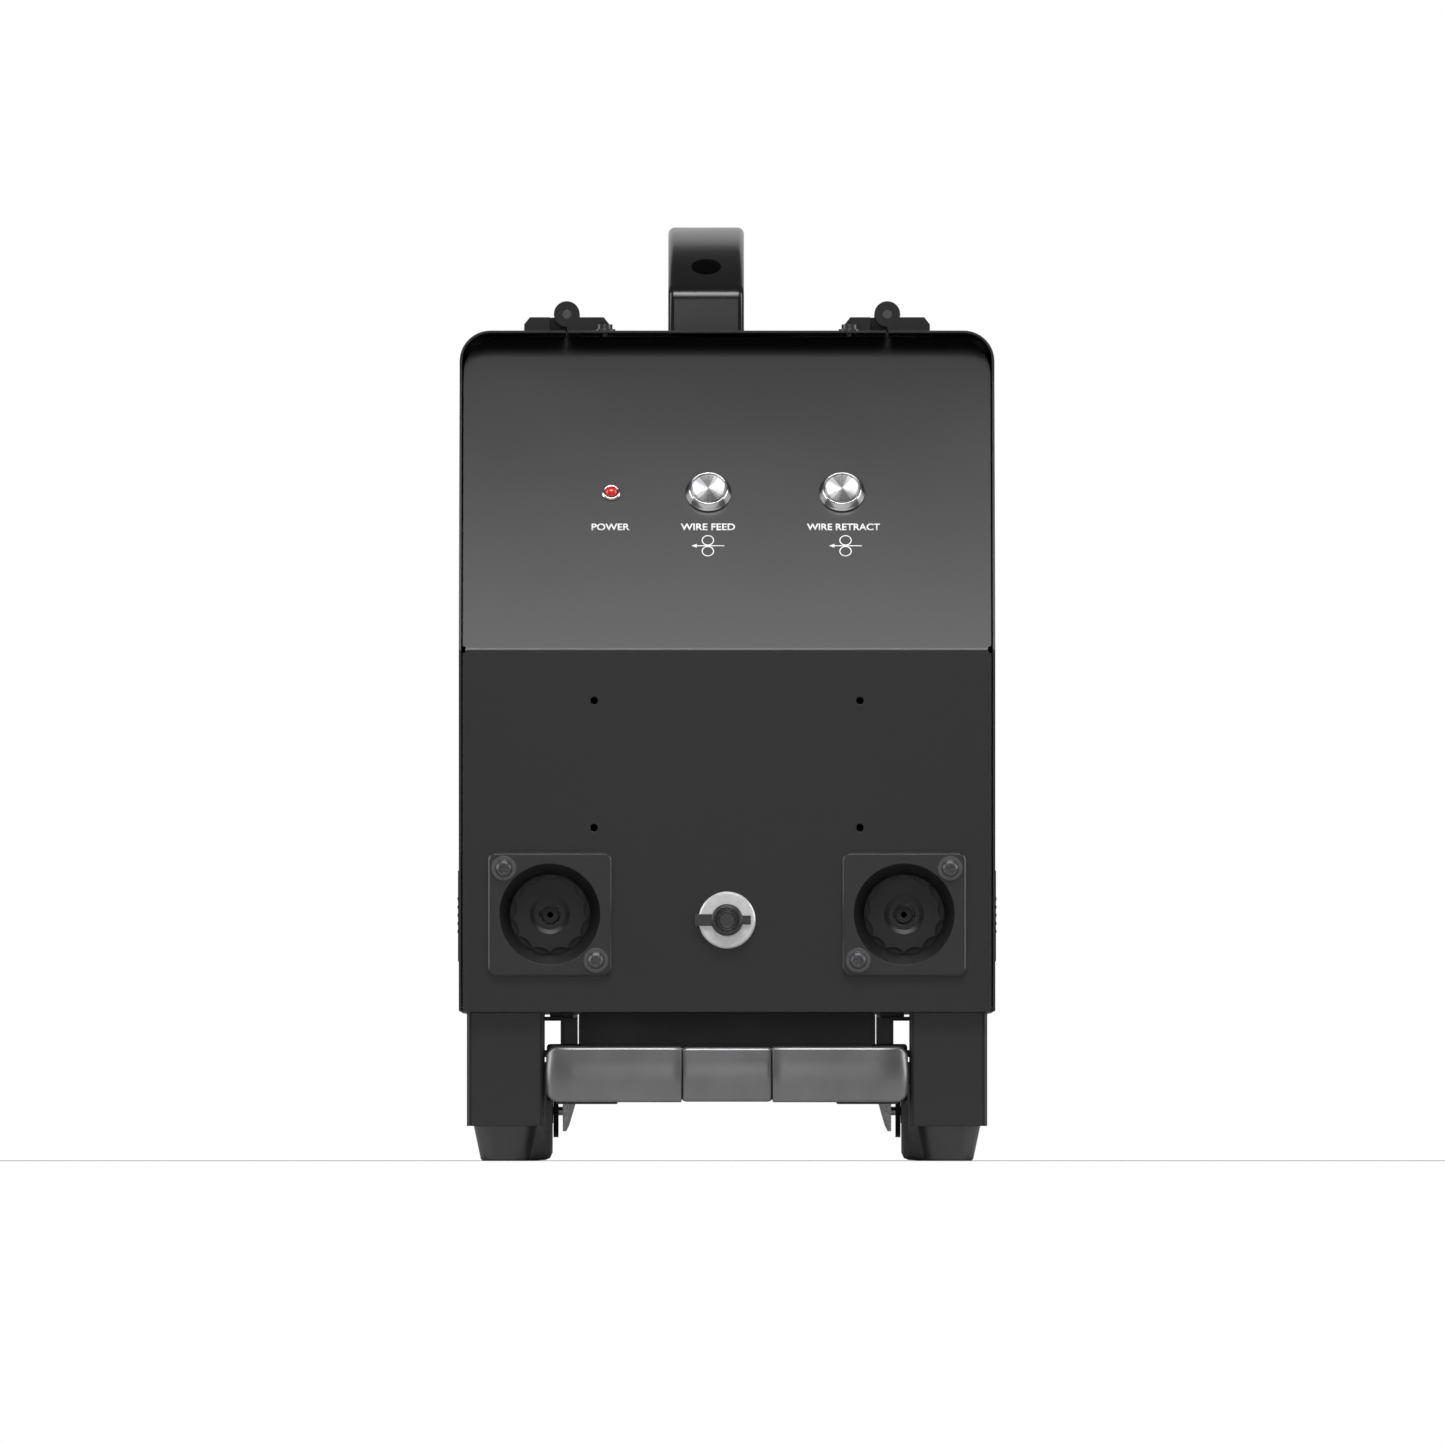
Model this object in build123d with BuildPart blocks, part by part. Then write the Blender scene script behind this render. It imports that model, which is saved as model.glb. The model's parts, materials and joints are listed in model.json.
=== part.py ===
"""Dual wire feeder on a small trolley, in millimetres.

Origin on the floor under the middle of the feeder. +X is to the right as the user faces the console, +Y runs
to the rear and +Z is up.
"""

import os
from math import cos, radians, sin, sqrt, tan

from build123d import *

# Case
case_half = 130.0
case_front = -256.0
case_rear = 259.2
case_bottom = 72.0
case_top = 403.5
cover_sheet = 1.2
panel_sheet = 2.0
seam = 0.7
corner_radius = 15.0

# Console: the upper part of the front panel leans back above the bend
bend_height = 247.6
lean = radians(34.0)
hood_height = 378.2
panel_top = 400.6
controls_height = 324.0
lamp_x = -56.2
feed_button_x = -9.0
retract_button_x = 55.8

# Front fittings
outlet_x = 85.85
outlet_height = 119.4
flange_side = 60.0
flange_thick = 3.0
cup_radius = 24.45
collar_radius = 18.9
flute_count = 13
conduit_radius = 5.2
flange_screw_offset = 22.3
socket_height = 116.6
socket_radius = 13.8
accessory_hole_radius = 1.85
accessory_x = 64.4
accessory_low = 161.3
accessory_high = 222.9

# Gull-wing doors and their block hinges
hinge_x = 78.0
hinge_height = 412.0
hinge_length = 50.0
hinge_places = (-108.0, 190.0)
knuckle_radius = 6.3
pin_radius = 2.2
running = 0.06

# Running gear
leg_inner = 88.4
leg_outer = 126.1
leg_y = -231.0
foot_x = 107.3
foot_height = 16.8
wheel_radius = 24.5
wheel_x = 96.0
wheel_y = 225.0
axle_radius = 2.2

# Pull handle
grip_half = 87.7
grip_low = 28.3
grip_high = 55.3
grip_front = -262.0
grip_rear = -236.0
button_half = 21.5
tube_x = 78.0
tube_z = 42.0

# Carrying handle
carry_x = -10.2
carry_y = 30.0
carry_half_length = 100.0
carry_half_width = 18.5
carry_top = 457.0
carry_foot_height = 424.4

# Wire spools
spool_y = 100.0
spool_z = 236.0
spool_radius = 150.0
spool_inner = 13.0
spool_outer = 116.0
spool_bore = 26.0

# Feed units
roll_y = -125.0
roll_radius = 14.7
roll_gap = 0.8
plate_inner = 62.0
plate_outer = 70.0
shaft_radius = 4.0

# Places worked out from the driving dimensions
panel_half = case_half - cover_sheet - seam
hood_y = case_front + (hood_height - bend_height) * tan(lean)
console_up = (controls_height - bend_height) / cos(lean)
corner_centre = (case_half - corner_radius, case_top - corner_radius)
normal = (0.0, -cos(lean), sin(lean))

# Front faces: local x is +X, local y runs up the face, and +z comes out of it
front_face = Plane(origin=(0, case_front, 0), x_dir=(1, 0, 0), z_dir=(0, -1, 0))
console_face = Plane(origin=(0, case_front, bend_height), x_dir=(1, 0, 0), z_dir=normal)

os.makedirs("parts", exist_ok=True)


def keep(piece, name):
    piece.part.label = name
    export_step(piece.part, f"parts/{name}.step")


def keep_pair(right_piece, name):
    """Keeps a right-hand piece and its mirror image as two pieces."""
    keep(right_piece, f"right_{name}")
    with BuildPart() as left_piece:
        mirror(right_piece.part, about=Plane.YZ)
    keep(left_piece, f"left_{name}")


def block(x, y, z, mode=Mode.ADD):
    """Box between the low and high values given for each axis."""
    middle = ((x[0] + x[1]) / 2, (y[0] + y[1]) / 2, (z[0] + z[1]) / 2)
    with Locations(middle):
        Box(x[1] - x[0], y[1] - y[0], z[1] - z[0], mode=mode)


def rod_x(radius, x, y, z, mode=Mode.ADD):
    with Locations(Location(((x[0] + x[1]) / 2, y, z), (0, 90, 0))):
        Cylinder(radius, x[1] - x[0], mode=mode)


def rod_y(radius, x, y, z, mode=Mode.ADD):
    with Locations(Location((x, (y[0] + y[1]) / 2, z), (90, 0, 0))):
        Cylinder(radius, y[1] - y[0], mode=mode)


def rod_z(radius, x, y, z, mode=Mode.ADD):
    with Locations((x, y, (z[0] + z[1]) / 2)):
        Cylinder(radius, z[1] - z[0], mode=mode)


def side_plate(points, x_low, thickness, mode=Mode.ADD):
    """Plate with an outline of (y, z) points that starts at x_low and grows towards +X."""
    with BuildSketch(Plane.YZ.offset(x_low)) as outline:
        with BuildLine():
            Polyline(*points, close=True)
        make_face()
    extrude(outline.sketch, amount=thickness, mode=mode)


def turned_y(points, x, z, mode=Mode.ADD):
    """Turned piece with an axis along Y. The points are (radius, y)."""
    with BuildSketch(Plane(origin=(x, 0, z), x_dir=(1, 0, 0), z_dir=(0, 0, 1))) as section:
        with BuildLine():
            Polyline(*points, close=True)
        make_face()
    revolve(section.sketch, axis=Axis((x, 0, z), (0, 1, 0)), mode=mode)


def turned_x(points, y, z, mode=Mode.ADD):
    """Turned piece with an axis along X. The points are (x, radius)."""
    with BuildSketch(Plane(origin=(0, y, z), x_dir=(1, 0, 0), z_dir=(0, -1, 0))) as section:
        with BuildLine():
            Polyline(*points, close=True)
        make_face()
    revolve(section.sketch, axis=Axis((0, y, z), (1, 0, 0)), mode=mode)


def turned_console(points, x, mode=Mode.ADD):
    """Turned piece on the leaning console face. The points are (radius, height above the face)."""
    centre = console_face.from_local_coords(Vector(x, console_up, 0))
    with BuildSketch(Plane(origin=centre, x_dir=(1, 0, 0), z_dir=(0, -sin(lean), -cos(lean)))) as section:
        with BuildLine():
            Polyline(*points, close=True)
        make_face()
    revolve(section.sketch, axis=Axis(centre, normal), mode=mode)


def pan_head(x, y_face, z, mode=Mode.ADD):
    """Screw with a flat washer and a domed cross-slot head that faces -Y."""
    washer = 1.2
    seat = y_face - washer
    turned_y([(0, seat), (6.0, seat), (6.0, y_face), (2.0, y_face), (2.0, y_face + 9), (0, y_face + 9)], x, z)
    turned_y([(0, seat - 3.2), (2.4, seat - 2.9), (3.7, seat - 1.9), (4.15, seat - 0.6), (4.15, seat), (0, seat)], x, z)
    for width, height in ((4.4, 0.9), (0.9, 4.4)):
        block(
            (x - width / 2, x + width / 2),
            (seat - 4, seat - 1.6),
            (z - height / 2, z + height / 2),
            Mode.SUBTRACT,
        )


# Base pan: floor of the case with an upturned rib inside each door
with BuildPart() as base_pan:
    block((-panel_half, panel_half), (case_front + panel_sheet, case_rear - panel_sheet), (72.0, 73.5))
    for side in (-1, 1):
        rib = sorted((side * 117.0, side * 118.5))
        block(rib, (-245, 248), (73.5, 83.5))
        rod_z(3.4, side * 124.2, 0, (71, 74), Mode.SUBTRACT)
keep(base_pan, "base_pan")

# Front panel: one bent sheet, upright below and leaning above, with a top flange and side returns
inner_bend = bend_height - panel_sheet * tan(lean / 2)
panel_top_y = case_front + (panel_top - bend_height) * tan(lean)
inner_top = panel_top - panel_sheet
inner_top_y = case_front + panel_sheet + (inner_top - inner_bend) * tan(lean)
flange_back = panel_top_y + 12.0
cover_screw_x = 59.7
cover_screw_y = panel_top_y + 6.5
button_barrel = 9.5
lamp_barrel = 4.0
with BuildPart() as front_panel:
    with BuildSketch(Plane.YZ) as section:
        with BuildLine():
            Polyline(
                (case_front, case_bottom),
                (case_front, bend_height),
                (panel_top_y, panel_top),
                (flange_back, panel_top),
                (flange_back, inner_top),
                (inner_top_y, inner_top),
                (case_front + panel_sheet, inner_bend),
                (case_front + panel_sheet, case_bottom),
                close=True,
            )
        make_face()
        fillet(section.vertices().sort_by_distance((case_front, bend_height, 0))[0], 3.0)
        fillet(section.vertices().sort_by_distance((panel_top_y, panel_top, 0))[0], 2.5)
    extrude(amount=panel_half, both=True)
    with BuildSketch(Plane.XZ):
        with Locations((0, (case_bottom + panel_top) / 2)):
            outline = Rectangle(2 * panel_half, panel_top - case_bottom)
        fillet(outline.vertices().group_by(Axis.Y)[-1], 18.0)
        fillet(outline.vertices().group_by(Axis.Y)[0], 2.0)
    extrude(amount=400, both=True, mode=Mode.INTERSECT)
    return_depth = 12.0
    inner_face = case_front + panel_sheet
    run = 110.0
    for edge in (-panel_half, panel_half - panel_sheet):
        side_plate(
            [
                (inner_face - 0.1, 80),
                (inner_face + return_depth, 80),
                (inner_face + return_depth, 236),
                (inner_face - 0.1, 244),
            ],
            edge,
            panel_sheet,
        )
        lower = (inner_face + 8 * tan(lean), inner_bend + 8)
        upper = (lower[0] + run * sin(lean), lower[1] + run * cos(lean))
        back = (return_depth * cos(lean), -return_depth * sin(lean))
        side_plate(
            [
                (lower[0] - 0.1, lower[1]),
                (upper[0] - 0.1, upper[1]),
                (upper[0] + back[0], upper[1] + back[1] - 8),
                (lower[0] + back[0], lower[1] + back[1] + 8),
            ],
            edge,
            panel_sheet,
        )
    with BuildSketch(front_face):
        with Locations((-panel_half, bend_height), (panel_half, bend_height)):
            Circle(1.7)
        for hole_z in (accessory_low, accessory_high):
            with Locations((-accessory_x, hole_z), (accessory_x, hole_z)):
                Circle(accessory_hole_radius)
        with Locations((-outlet_x, outlet_height), (outlet_x, outlet_height)):
            Circle(25.6)
        for side in (-1, 1):
            screw_x = side * outlet_x
            with Locations(
                (screw_x + side * flange_screw_offset, outlet_height + flange_screw_offset),
                (screw_x - side * flange_screw_offset, outlet_height - flange_screw_offset),
            ):
                Circle(2.1)
        with Locations((0, socket_height)):
            Circle(11.1)
    extrude(amount=-5, both=False, mode=Mode.SUBTRACT)
    with BuildSketch(console_face):
        with Locations((feed_button_x, console_up), (retract_button_x, console_up)):
            Circle(button_barrel + 0.1)
        with Locations((lamp_x, console_up)):
            Circle(lamp_barrel + 0.1)
    extrude(amount=-6, mode=Mode.SUBTRACT)
    for side in (-1, 1):
        rod_z(2.1, side * cover_screw_x, cover_screw_y, (395, 402), Mode.SUBTRACT)
keep(front_panel, "front_panel")

# Rear panel with two columns of vent slots and a hole for the rear socket
rear_socket = (60.0, 104.0)
rear_top = case_top - cover_sheet - 0.4
with BuildPart() as rear_panel:
    block((-panel_half, panel_half), (case_rear - panel_sheet, case_rear), (case_bottom, rear_top))
    with BuildSketch(Plane.XZ.offset(-case_rear)):
        with Locations((-62, 300), (62, 300)):
            with GridLocations(0.1, 10, 1, 10):
                SlotOverall(70, 4.5)
        with Locations(rear_socket):
            Circle(11.1)
    extrude(amount=5, mode=Mode.SUBTRACT)
    with BuildSketch(Plane.XZ.offset(-case_rear)):
        with Locations((0, (case_bottom + rear_top) / 2)):
            rear_outline = Rectangle(2 * panel_half, rear_top - case_bottom)
        fillet(rear_outline.vertices().group_by(Axis.Y)[-1], 15.0)
        fillet(rear_outline.vertices().group_by(Axis.Y)[0], 2.0)
    extrude(amount=5, mode=Mode.INTERSECT)
keep(rear_panel, "rear_panel")

# Centre partition: divides the case into two bays and carries both spools
with BuildPart() as centre_partition:
    part_front = -195.0
    side_plate(
        [
            (part_front, 73.5),
            (case_rear - panel_sheet, 73.5),
            (case_rear - panel_sheet, 401.0),
            (-130.0, 401.0),
            (-130.0, 384.0),
            (part_front, 292.0),
        ],
        -1.0,
        2.0,
    )
    block((-14, -1), (part_front + 5, 250), (73.5, 75.5))
    block((1, 14), (-125, 250), (399.0, 401.0))
keep(centre_partition, "centre_partition")

# Top cover: flat strip between the doors with downturned sides
with BuildPart() as top_cover:
    cover_half = hinge_x - 0.5
    block((-cover_half, cover_half), (hood_y, case_rear), (case_top - cover_sheet, case_top))
    for side in (-1, 1):
        lip = sorted((side * cover_half, side * (cover_half - cover_sheet)))
        block(lip, (hood_y + 34, case_rear - 12), (392, case_top - cover_sheet))
    for side in (-1, 1):
        rod_z(2.1, side * cover_screw_x, cover_screw_y, (400, 405), Mode.SUBTRACT)
    for side in (-1, 1):
        rod_z(3.1, carry_x, carry_y + side * 80.7, (400, 405), Mode.SUBTRACT)
keep(top_cover, "top_cover")

# Gull-wing door: side wall and rounded top edge in one sheet, with a bottom lip
latch_slot = (104.0, 137.0)
with BuildPart() as right_door:
    with BuildSketch(Plane.XZ.offset(-case_rear)):
        wall_inner = case_half - cover_sheet
        under = case_top - cover_sheet
        with BuildLine():
            Polyline((case_half, 72.6), (case_half, corner_centre[1]))
            CenterArc(corner_centre, corner_radius, 0, 90)
            Polyline(
                (corner_centre[0], case_top),
                (hinge_x + 0.5, case_top),
                (hinge_x + 0.5, under),
                (corner_centre[0], under),
            )
            CenterArc(corner_centre, corner_radius - cover_sheet, 0, 90)
            Polyline(
                (wall_inner, corner_centre[1]),
                (wall_inner, 75.5),
                (121.0, 75.5),
                (121.0, 74.3),
                (wall_inner, 74.3),
                (wall_inner, 72.6),
                (case_half, 72.6),
            )
        make_face()
    extrude(amount=case_rear - case_front)
    side_plate(
        [
            (case_front - 10, bend_height),
            (case_front, bend_height),
            (hood_y, hood_height),
            (hood_y, 420),
            (case_front - 10, 420),
        ],
        50,
        100,
        Mode.SUBTRACT,
    )
    block((115, 135), (-6, 6), latch_slot, Mode.SUBTRACT)
    for end in ((case_front - 1, case_front + 18), (case_rear - 18, case_rear + 1)):
        block((115, wall_inner), end, (72, 76), Mode.SUBTRACT)
    rod_z(4.4, 124.2, 0, (74, 76), Mode.SUBTRACT)
keep_pair(right_door, "door")

# Sliding latch: thumb plate outside the door, neck through the slot, drop pin inside
with BuildPart() as right_latch:
    with BuildSketch(Plane.YZ.offset(case_half + 0.3)):
        with Locations((0, 119.6)):
            RectangleRounded(24, 44.4, 4)
    extrude(amount=1.2)
    for ridge_z in (112, 116, 120, 124, 128):
        block((131.4, 131.8), (-7, 7), (ridge_z - 0.7, ridge_z + 0.7))
    block((124.0, case_half + 0.4), (-5, 5), (106, 126))
    block((120.5, 128.4), (-8, 8), (98, 126))
    rod_z(3.0, 124.2, 0, (76.5, 98.5))
keep_pair(right_latch, "latch")


def hinge_leaf(pin_x, y_mid, side, pair):
    """Block hinge leaf. side 1 lies to the right of the pin and has the two outer knuckles,
    side -1 lies to the left and has the middle one. pair is the axial gap between knuckles."""
    half = hinge_length / 2
    if side > 0:
        spans = ((-half, -12.0 - pair), (12.0 + pair, half))
    else:
        spans = ((-12.0, 12.0),)
    base = case_top
    with BuildSketch(Plane.XZ.offset(-(y_mid + half))) as leaf:
        with BuildLine():
            Polyline(
                (pin_x + side * 8.3, base),
                (pin_x + side * 20.75, base),
                (pin_x + side * 20.75, base + 3.5),
                (pin_x + side * 18.0, base + 7.0),
                (pin_x + side * 8.3, base + 7.0),
                close=True,
            )
        make_face()
    extrude(leaf.sketch, amount=hinge_length)
    for low, high in spans:
        reach = sorted((pin_x, pin_x + side * 8.5))
        block(reach, (y_mid + low, y_mid + high), (base + 0.4, base + 7.0))
        rod_y(knuckle_radius, pin_x, (y_mid + low, y_mid + high), hinge_height)
    rod_y(pin_radius + running, pin_x, (y_mid - half - 1, y_mid + half + 1), hinge_height, Mode.SUBTRACT)


knuckle_gap = 0.4
with BuildPart() as hinge_bases:
    for y_mid in hinge_places:
        hinge_leaf(-hinge_x, y_mid, 1, knuckle_gap)
        hinge_leaf(hinge_x, y_mid, -1, knuckle_gap)
keep(hinge_bases, "hinge_bases")

with BuildPart() as right_hinge_leaves:
    for y_mid in hinge_places:
        hinge_leaf(hinge_x, y_mid, 1, knuckle_gap)
keep(right_hinge_leaves, "right_hinge_leaves")

with BuildPart() as left_hinge_leaves:
    for y_mid in hinge_places:
        hinge_leaf(-hinge_x, y_mid, -1, knuckle_gap)
keep(left_hinge_leaves, "left_hinge_leaves")

with BuildPart() as hinge_pins:
    for pin_x in (-hinge_x, hinge_x):
        for y_mid in hinge_places:
            rod_y(pin_radius, pin_x, (y_mid - 25, y_mid + 25), hinge_height)
keep(hinge_pins, "hinge_pins")

# Screws in the top cover: two small ones at the front and one large one in each foot of the carrying handle
carry_radius = (carry_half_length**2 + (carry_top - carry_foot_height) ** 2) / (2 * (carry_top - carry_foot_height))
carry_centre = carry_top - carry_radius
carry_seat = 414.0
with BuildPart() as top_screws:
    for side in (-1, 1):
        screw_x = side * cover_screw_x
        rod_z(5.4, screw_x, cover_screw_y, (case_top, case_top + 1.0))
        rod_z(4.0, screw_x, cover_screw_y, (case_top + 1.0, case_top + 3.3))
        rod_z(2.0, screw_x, cover_screw_y, (case_top - 8, case_top))
        rod_z(1.6, screw_x, cover_screw_y, (case_top + 1.5, case_top + 3.5), Mode.SUBTRACT)
    for side in (-1, 1):
        screw_y = carry_y + side * 80.7
        rod_z(5.0, carry_x, screw_y, (carry_seat, carry_seat + 5))
        rod_z(3.0, carry_x, screw_y, (case_top - 10, carry_seat))
        rod_z(2.2, carry_x, screw_y, (carry_seat + 2, carry_seat + 6), Mode.SUBTRACT)
keep(top_screws, "top_screws")

# Carrying handle: arched grip on two long feet
grip_depth = 21.0
foot_inner = 58.0
inner_radius = carry_radius - grip_depth
inner_spring = carry_centre + sqrt(inner_radius**2 - foot_inner**2)
with BuildPart() as carry_handle:
    with BuildSketch(Plane.YZ.offset(carry_x - carry_half_width)):
        with BuildLine():
            Polyline(
                (carry_y - carry_half_length, carry_foot_height),
                (carry_y - carry_half_length, case_top),
                (carry_y - foot_inner, case_top),
                (carry_y - foot_inner, inner_spring),
            )
            ThreePointArc(
                (carry_y - foot_inner, inner_spring),
                (carry_y, carry_top - grip_depth),
                (carry_y + foot_inner, inner_spring),
            )
            Polyline(
                (carry_y + foot_inner, inner_spring),
                (carry_y + foot_inner, case_top),
                (carry_y + carry_half_length, case_top),
                (carry_y + carry_half_length, carry_foot_height),
            )
            ThreePointArc(
                (carry_y + carry_half_length, carry_foot_height),
                (carry_y, carry_top),
                (carry_y - carry_half_length, carry_foot_height),
            )
        make_face()
    extrude(amount=2 * carry_half_width)
    shoulders = carry_handle.edges().filter_by(Axis.X).filter_by_position(Axis.Z, carry_foot_height - 1, 425)
    fillet([edge for edge in shoulders if abs(edge.center().Y - carry_y) > 90], 5.0)
    outline = carry_handle.faces().sort_by(Axis.X)[0].edges() + carry_handle.faces().sort_by(Axis.X)[-1].edges()
    fillet([edge for edge in outline if edge.center().Z > case_top + 1], 3.6)
    for side in (-1, 1):
        rod_z(7.25, carry_x, carry_y + side * 80.7, (carry_seat, 470), Mode.SUBTRACT)
        rod_z(3.2, carry_x, carry_y + side * 80.7, (400, 470), Mode.SUBTRACT)
keep(carry_handle, "carry_handle")

# Bezels on the console: one small for the lamp and two with a sloped flank for the push buttons
with BuildPart() as control_bezels:
    turned_console(
        [(3.1, -12), (lamp_barrel, -12), (lamp_barrel, 0), (4.6, 0), (4.6, 0.8), (4.0, 1.5), (3.1, 1.5)],
        lamp_x,
    )
    for button_x in (feed_button_x, retract_button_x):
        turned_console(
            [
                (0, -24),
                (button_barrel, -24),
                (button_barrel, 0),
                (11.25, 0),
                (11.25, 1.2),
                (9.3, 4.4),
                (8.9, 4.6),
                (8.5, 4.4),
                (8.5, -12),
                (0, -12),
            ],
            button_x,
        )
        turned_console([(9.6, -8), (13.0, -8), (13.0, -panel_sheet - 0.1), (9.6, -panel_sheet - 0.1)], button_x)
keep(control_bezels, "control_bezels")

with BuildPart() as lamp_lens:
    turned_console(
        [(0, -6), (3.0, -6), (3.0, 1.6), (2.6, 2.6), (1.6, 3.4), (0, 3.7)],
        lamp_x,
    )
keep(lamp_lens, "lamp_lens")

for button_x, name in ((feed_button_x, "wire_feed_button"), (retract_button_x, "wire_retract_button")):
    with BuildPart() as push_button:
        turned_console([(0, -8), (8.42, -8), (8.42, 4.5), (8.1, 4.9), (7.7, 4.6), (0, 4.6)], button_x)
    keep(push_button, name)

# Wire outlets: square flange with a funnel-shaped cup, and a fluted lock collar that turns in it
flange_y = case_front - flange_thick
with BuildPart() as outlet_flanges:
    for side in (-1, 1):
        centre_x = side * outlet_x
        with BuildSketch(Plane(origin=(centre_x, case_front, outlet_height), x_dir=(1, 0, 0), z_dir=(0, -1, 0))):
            RectangleRounded(flange_side, flange_side, 4)
        extrude(amount=flange_thick)
    chamfer(outlet_flanges.edges().filter_by_position(Axis.Y, flange_y - 0.1, flange_y + 0.1), 0.9)
    for side in (-1, 1):
        centre_x = side * outlet_x
        rod_y(25.2, centre_x, (case_front, case_front + 30), outlet_height)
        turned_y(
            [
                (0, flange_y - 1),
                (cup_radius, flange_y - 1),
                (cup_radius, flange_y + 1.2),
                (19.7, case_front + 11.5),
                (19.7, case_front + 24),
                (12.0, case_front + 24),
                (12.0, case_front + 31),
                (0, case_front + 31),
            ],
            centre_x,
            outlet_height,
            Mode.SUBTRACT,
        )
        for turn in (-1, 1):
            rod_y(
                2.1,
                centre_x + side * turn * flange_screw_offset,
                (flange_y - 1, case_front + 1),
                outlet_height + turn * flange_screw_offset,
                Mode.SUBTRACT,
            )
keep(outlet_flanges, "outlet_flanges")

flute_depth = 1.75
peak_half = collar_radius * sin(radians(180 / flute_count))
flute_low = collar_radius * cos(radians(180 / flute_count)) - flute_depth
flute_radius = (peak_half**2 + flute_depth**2) / (2 * flute_depth)
with BuildPart() as right_lock_collar:
    with BuildSketch(Plane(origin=(outlet_x, case_front + 12.0, outlet_height), x_dir=(1, 0, 0), z_dir=(0, -1, 0))):
        Circle(collar_radius)
        with PolarLocations(flute_low + flute_radius, flute_count, start_angle=90):
            Circle(flute_radius, mode=Mode.SUBTRACT)
    extrude(amount=-11.0)
    rod_y(11.94, outlet_x, (case_front + 23.0, case_front + 36), outlet_height)
    dish = case_front + 13.0
    turned_y(
        [(0, dish - 2), (9.5, dish - 2), (9.5, dish), (7.5, dish + 0.8), (0, dish + 0.8)],
        outlet_x,
        outlet_height,
        Mode.SUBTRACT,
    )
    rod_y(conduit_radius, outlet_x, (case_front, case_front + 40), outlet_height, Mode.SUBTRACT)
keep_pair(right_lock_collar, "lock_collar")

with BuildPart() as flange_screws:
    for side in (-1, 1):
        for turn in (-1, 1):
            pan_head(
                side * outlet_x + side * turn * flange_screw_offset,
                flange_y,
                outlet_height + turn * flange_screw_offset,
            )
keep(flange_screws, "flange_screws")

# Round control sockets: one on the front under a rubber cap, one on the rear
spigot_radius = 6.6
socket_points = (
    (0, -1.0),
    (5.0, -1.0),
    (5.0, 6.0),
    (spigot_radius, 6.0),
    (spigot_radius, 3.5),
    (13.0, 3.5),
    (socket_radius, 2.7),
    (socket_radius, 0.0),
    (11.0, 0.0),
    (11.0, -24.0),
    (0, -24.0),
)
with BuildPart() as control_sockets:
    turned_y([(radius, case_front - out) for radius, out in socket_points], 0, socket_height)
    turned_y([(radius, case_rear + out) for radius, out in socket_points], *rear_socket)
keep(control_sockets, "control_sockets")

cap_y = case_front - 3.9
with BuildPart() as dust_cap:
    turned_y(
        [
            (7.3, cap_y),
            (7.7, cap_y),
            (7.7, cap_y - 4.0),
            (7.0, cap_y - 4.8),
            (6.3, cap_y - 4.8),
            (6.0, cap_y - 5.3),
            (5.7, cap_y - 4.8),
            (5.3, cap_y - 4.8),
            (5.0, cap_y - 5.3),
            (4.7, cap_y - 4.8),
            (4.1, cap_y - 4.8),
            (3.8, cap_y - 5.3),
            (3.5, cap_y - 4.8),
            (0, cap_y - 4.8),
            (0, cap_y - 2.5),
            (7.3, cap_y - 2.5),
        ],
        0,
        socket_height,
    )
    block((-15.6, -7.4), (cap_y - 1.2, cap_y), (socket_height - 2.85, socket_height + 2.85))
    rod_z(0.7, -15.1, cap_y + 0.15, (socket_height - 2.85, socket_height + 2.85))
    block((7.4, 11.5), (cap_y - 1.2, cap_y), (socket_height - 2.2, socket_height + 2.2))
keep(dust_cap, "dust_cap")

# Front legs and their rubber feet
with BuildPart() as front_legs:
    for side in (-1, 1):
        leg = sorted((side * leg_inner, side * leg_outer))
        block(leg, (leg_y - 19, leg_y + 19), (foot_height, case_bottom))
    fillet(front_legs.edges().filter_by(Axis.Z), 2.5)
keep(front_legs, "front_legs")

with BuildPart() as rubber_feet:
    for side in (-1, 1):
        with BuildSketch(Plane(origin=(side * foot_x, leg_y, 0), x_dir=(1, 0, 0), z_dir=(0, -1, 0))):
            with BuildLine():
                Polyline((0, 0), (11.3, 0), (12.15, 0.9), (15.5, foot_height), (0, foot_height), close=True)
            make_face()
        revolve(axis=Axis((side * foot_x, leg_y, 0), (0, 0, 1)))
keep(rubber_feet, "rubber_feet")

# Rear wheels in forks, on axles that are stayed by plated tabs
with BuildPart() as wheel_forks:
    for side in (-1, 1):
        for cheek in ((83.0, 85.5), (106.5, 109.0)):
            cheek_x = sorted((side * cheek[0], side * cheek[1]))
            rod_x(13.0, cheek_x, wheel_y, wheel_radius)
            block(cheek_x, (wheel_y - 13, wheel_y + 13), (wheel_radius, 54.5))
        block(sorted((side * 83.0, side * 109.0)), (wheel_y - 13, wheel_y + 13), (51.0, 54.5))
        block(sorted((side * 91.0, side * 109.0)), (wheel_y - 20, wheel_y + 20), (54.5, case_bottom))
        rod_x(axle_radius + 0.02, sorted((side * 80, side * 112)), wheel_y, wheel_radius, Mode.SUBTRACT)
keep(wheel_forks, "wheel_forks")

with BuildPart() as axle_bolts:
    for side in (-1, 1):
        rod_x(axle_radius, sorted((side * 79.4, side * 110.0)), wheel_y, wheel_radius)
        rod_x(4.4, sorted((side * 109.0, side * 112.0)), wheel_y, wheel_radius)
keep(axle_bolts, "axle_bolts")

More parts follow.
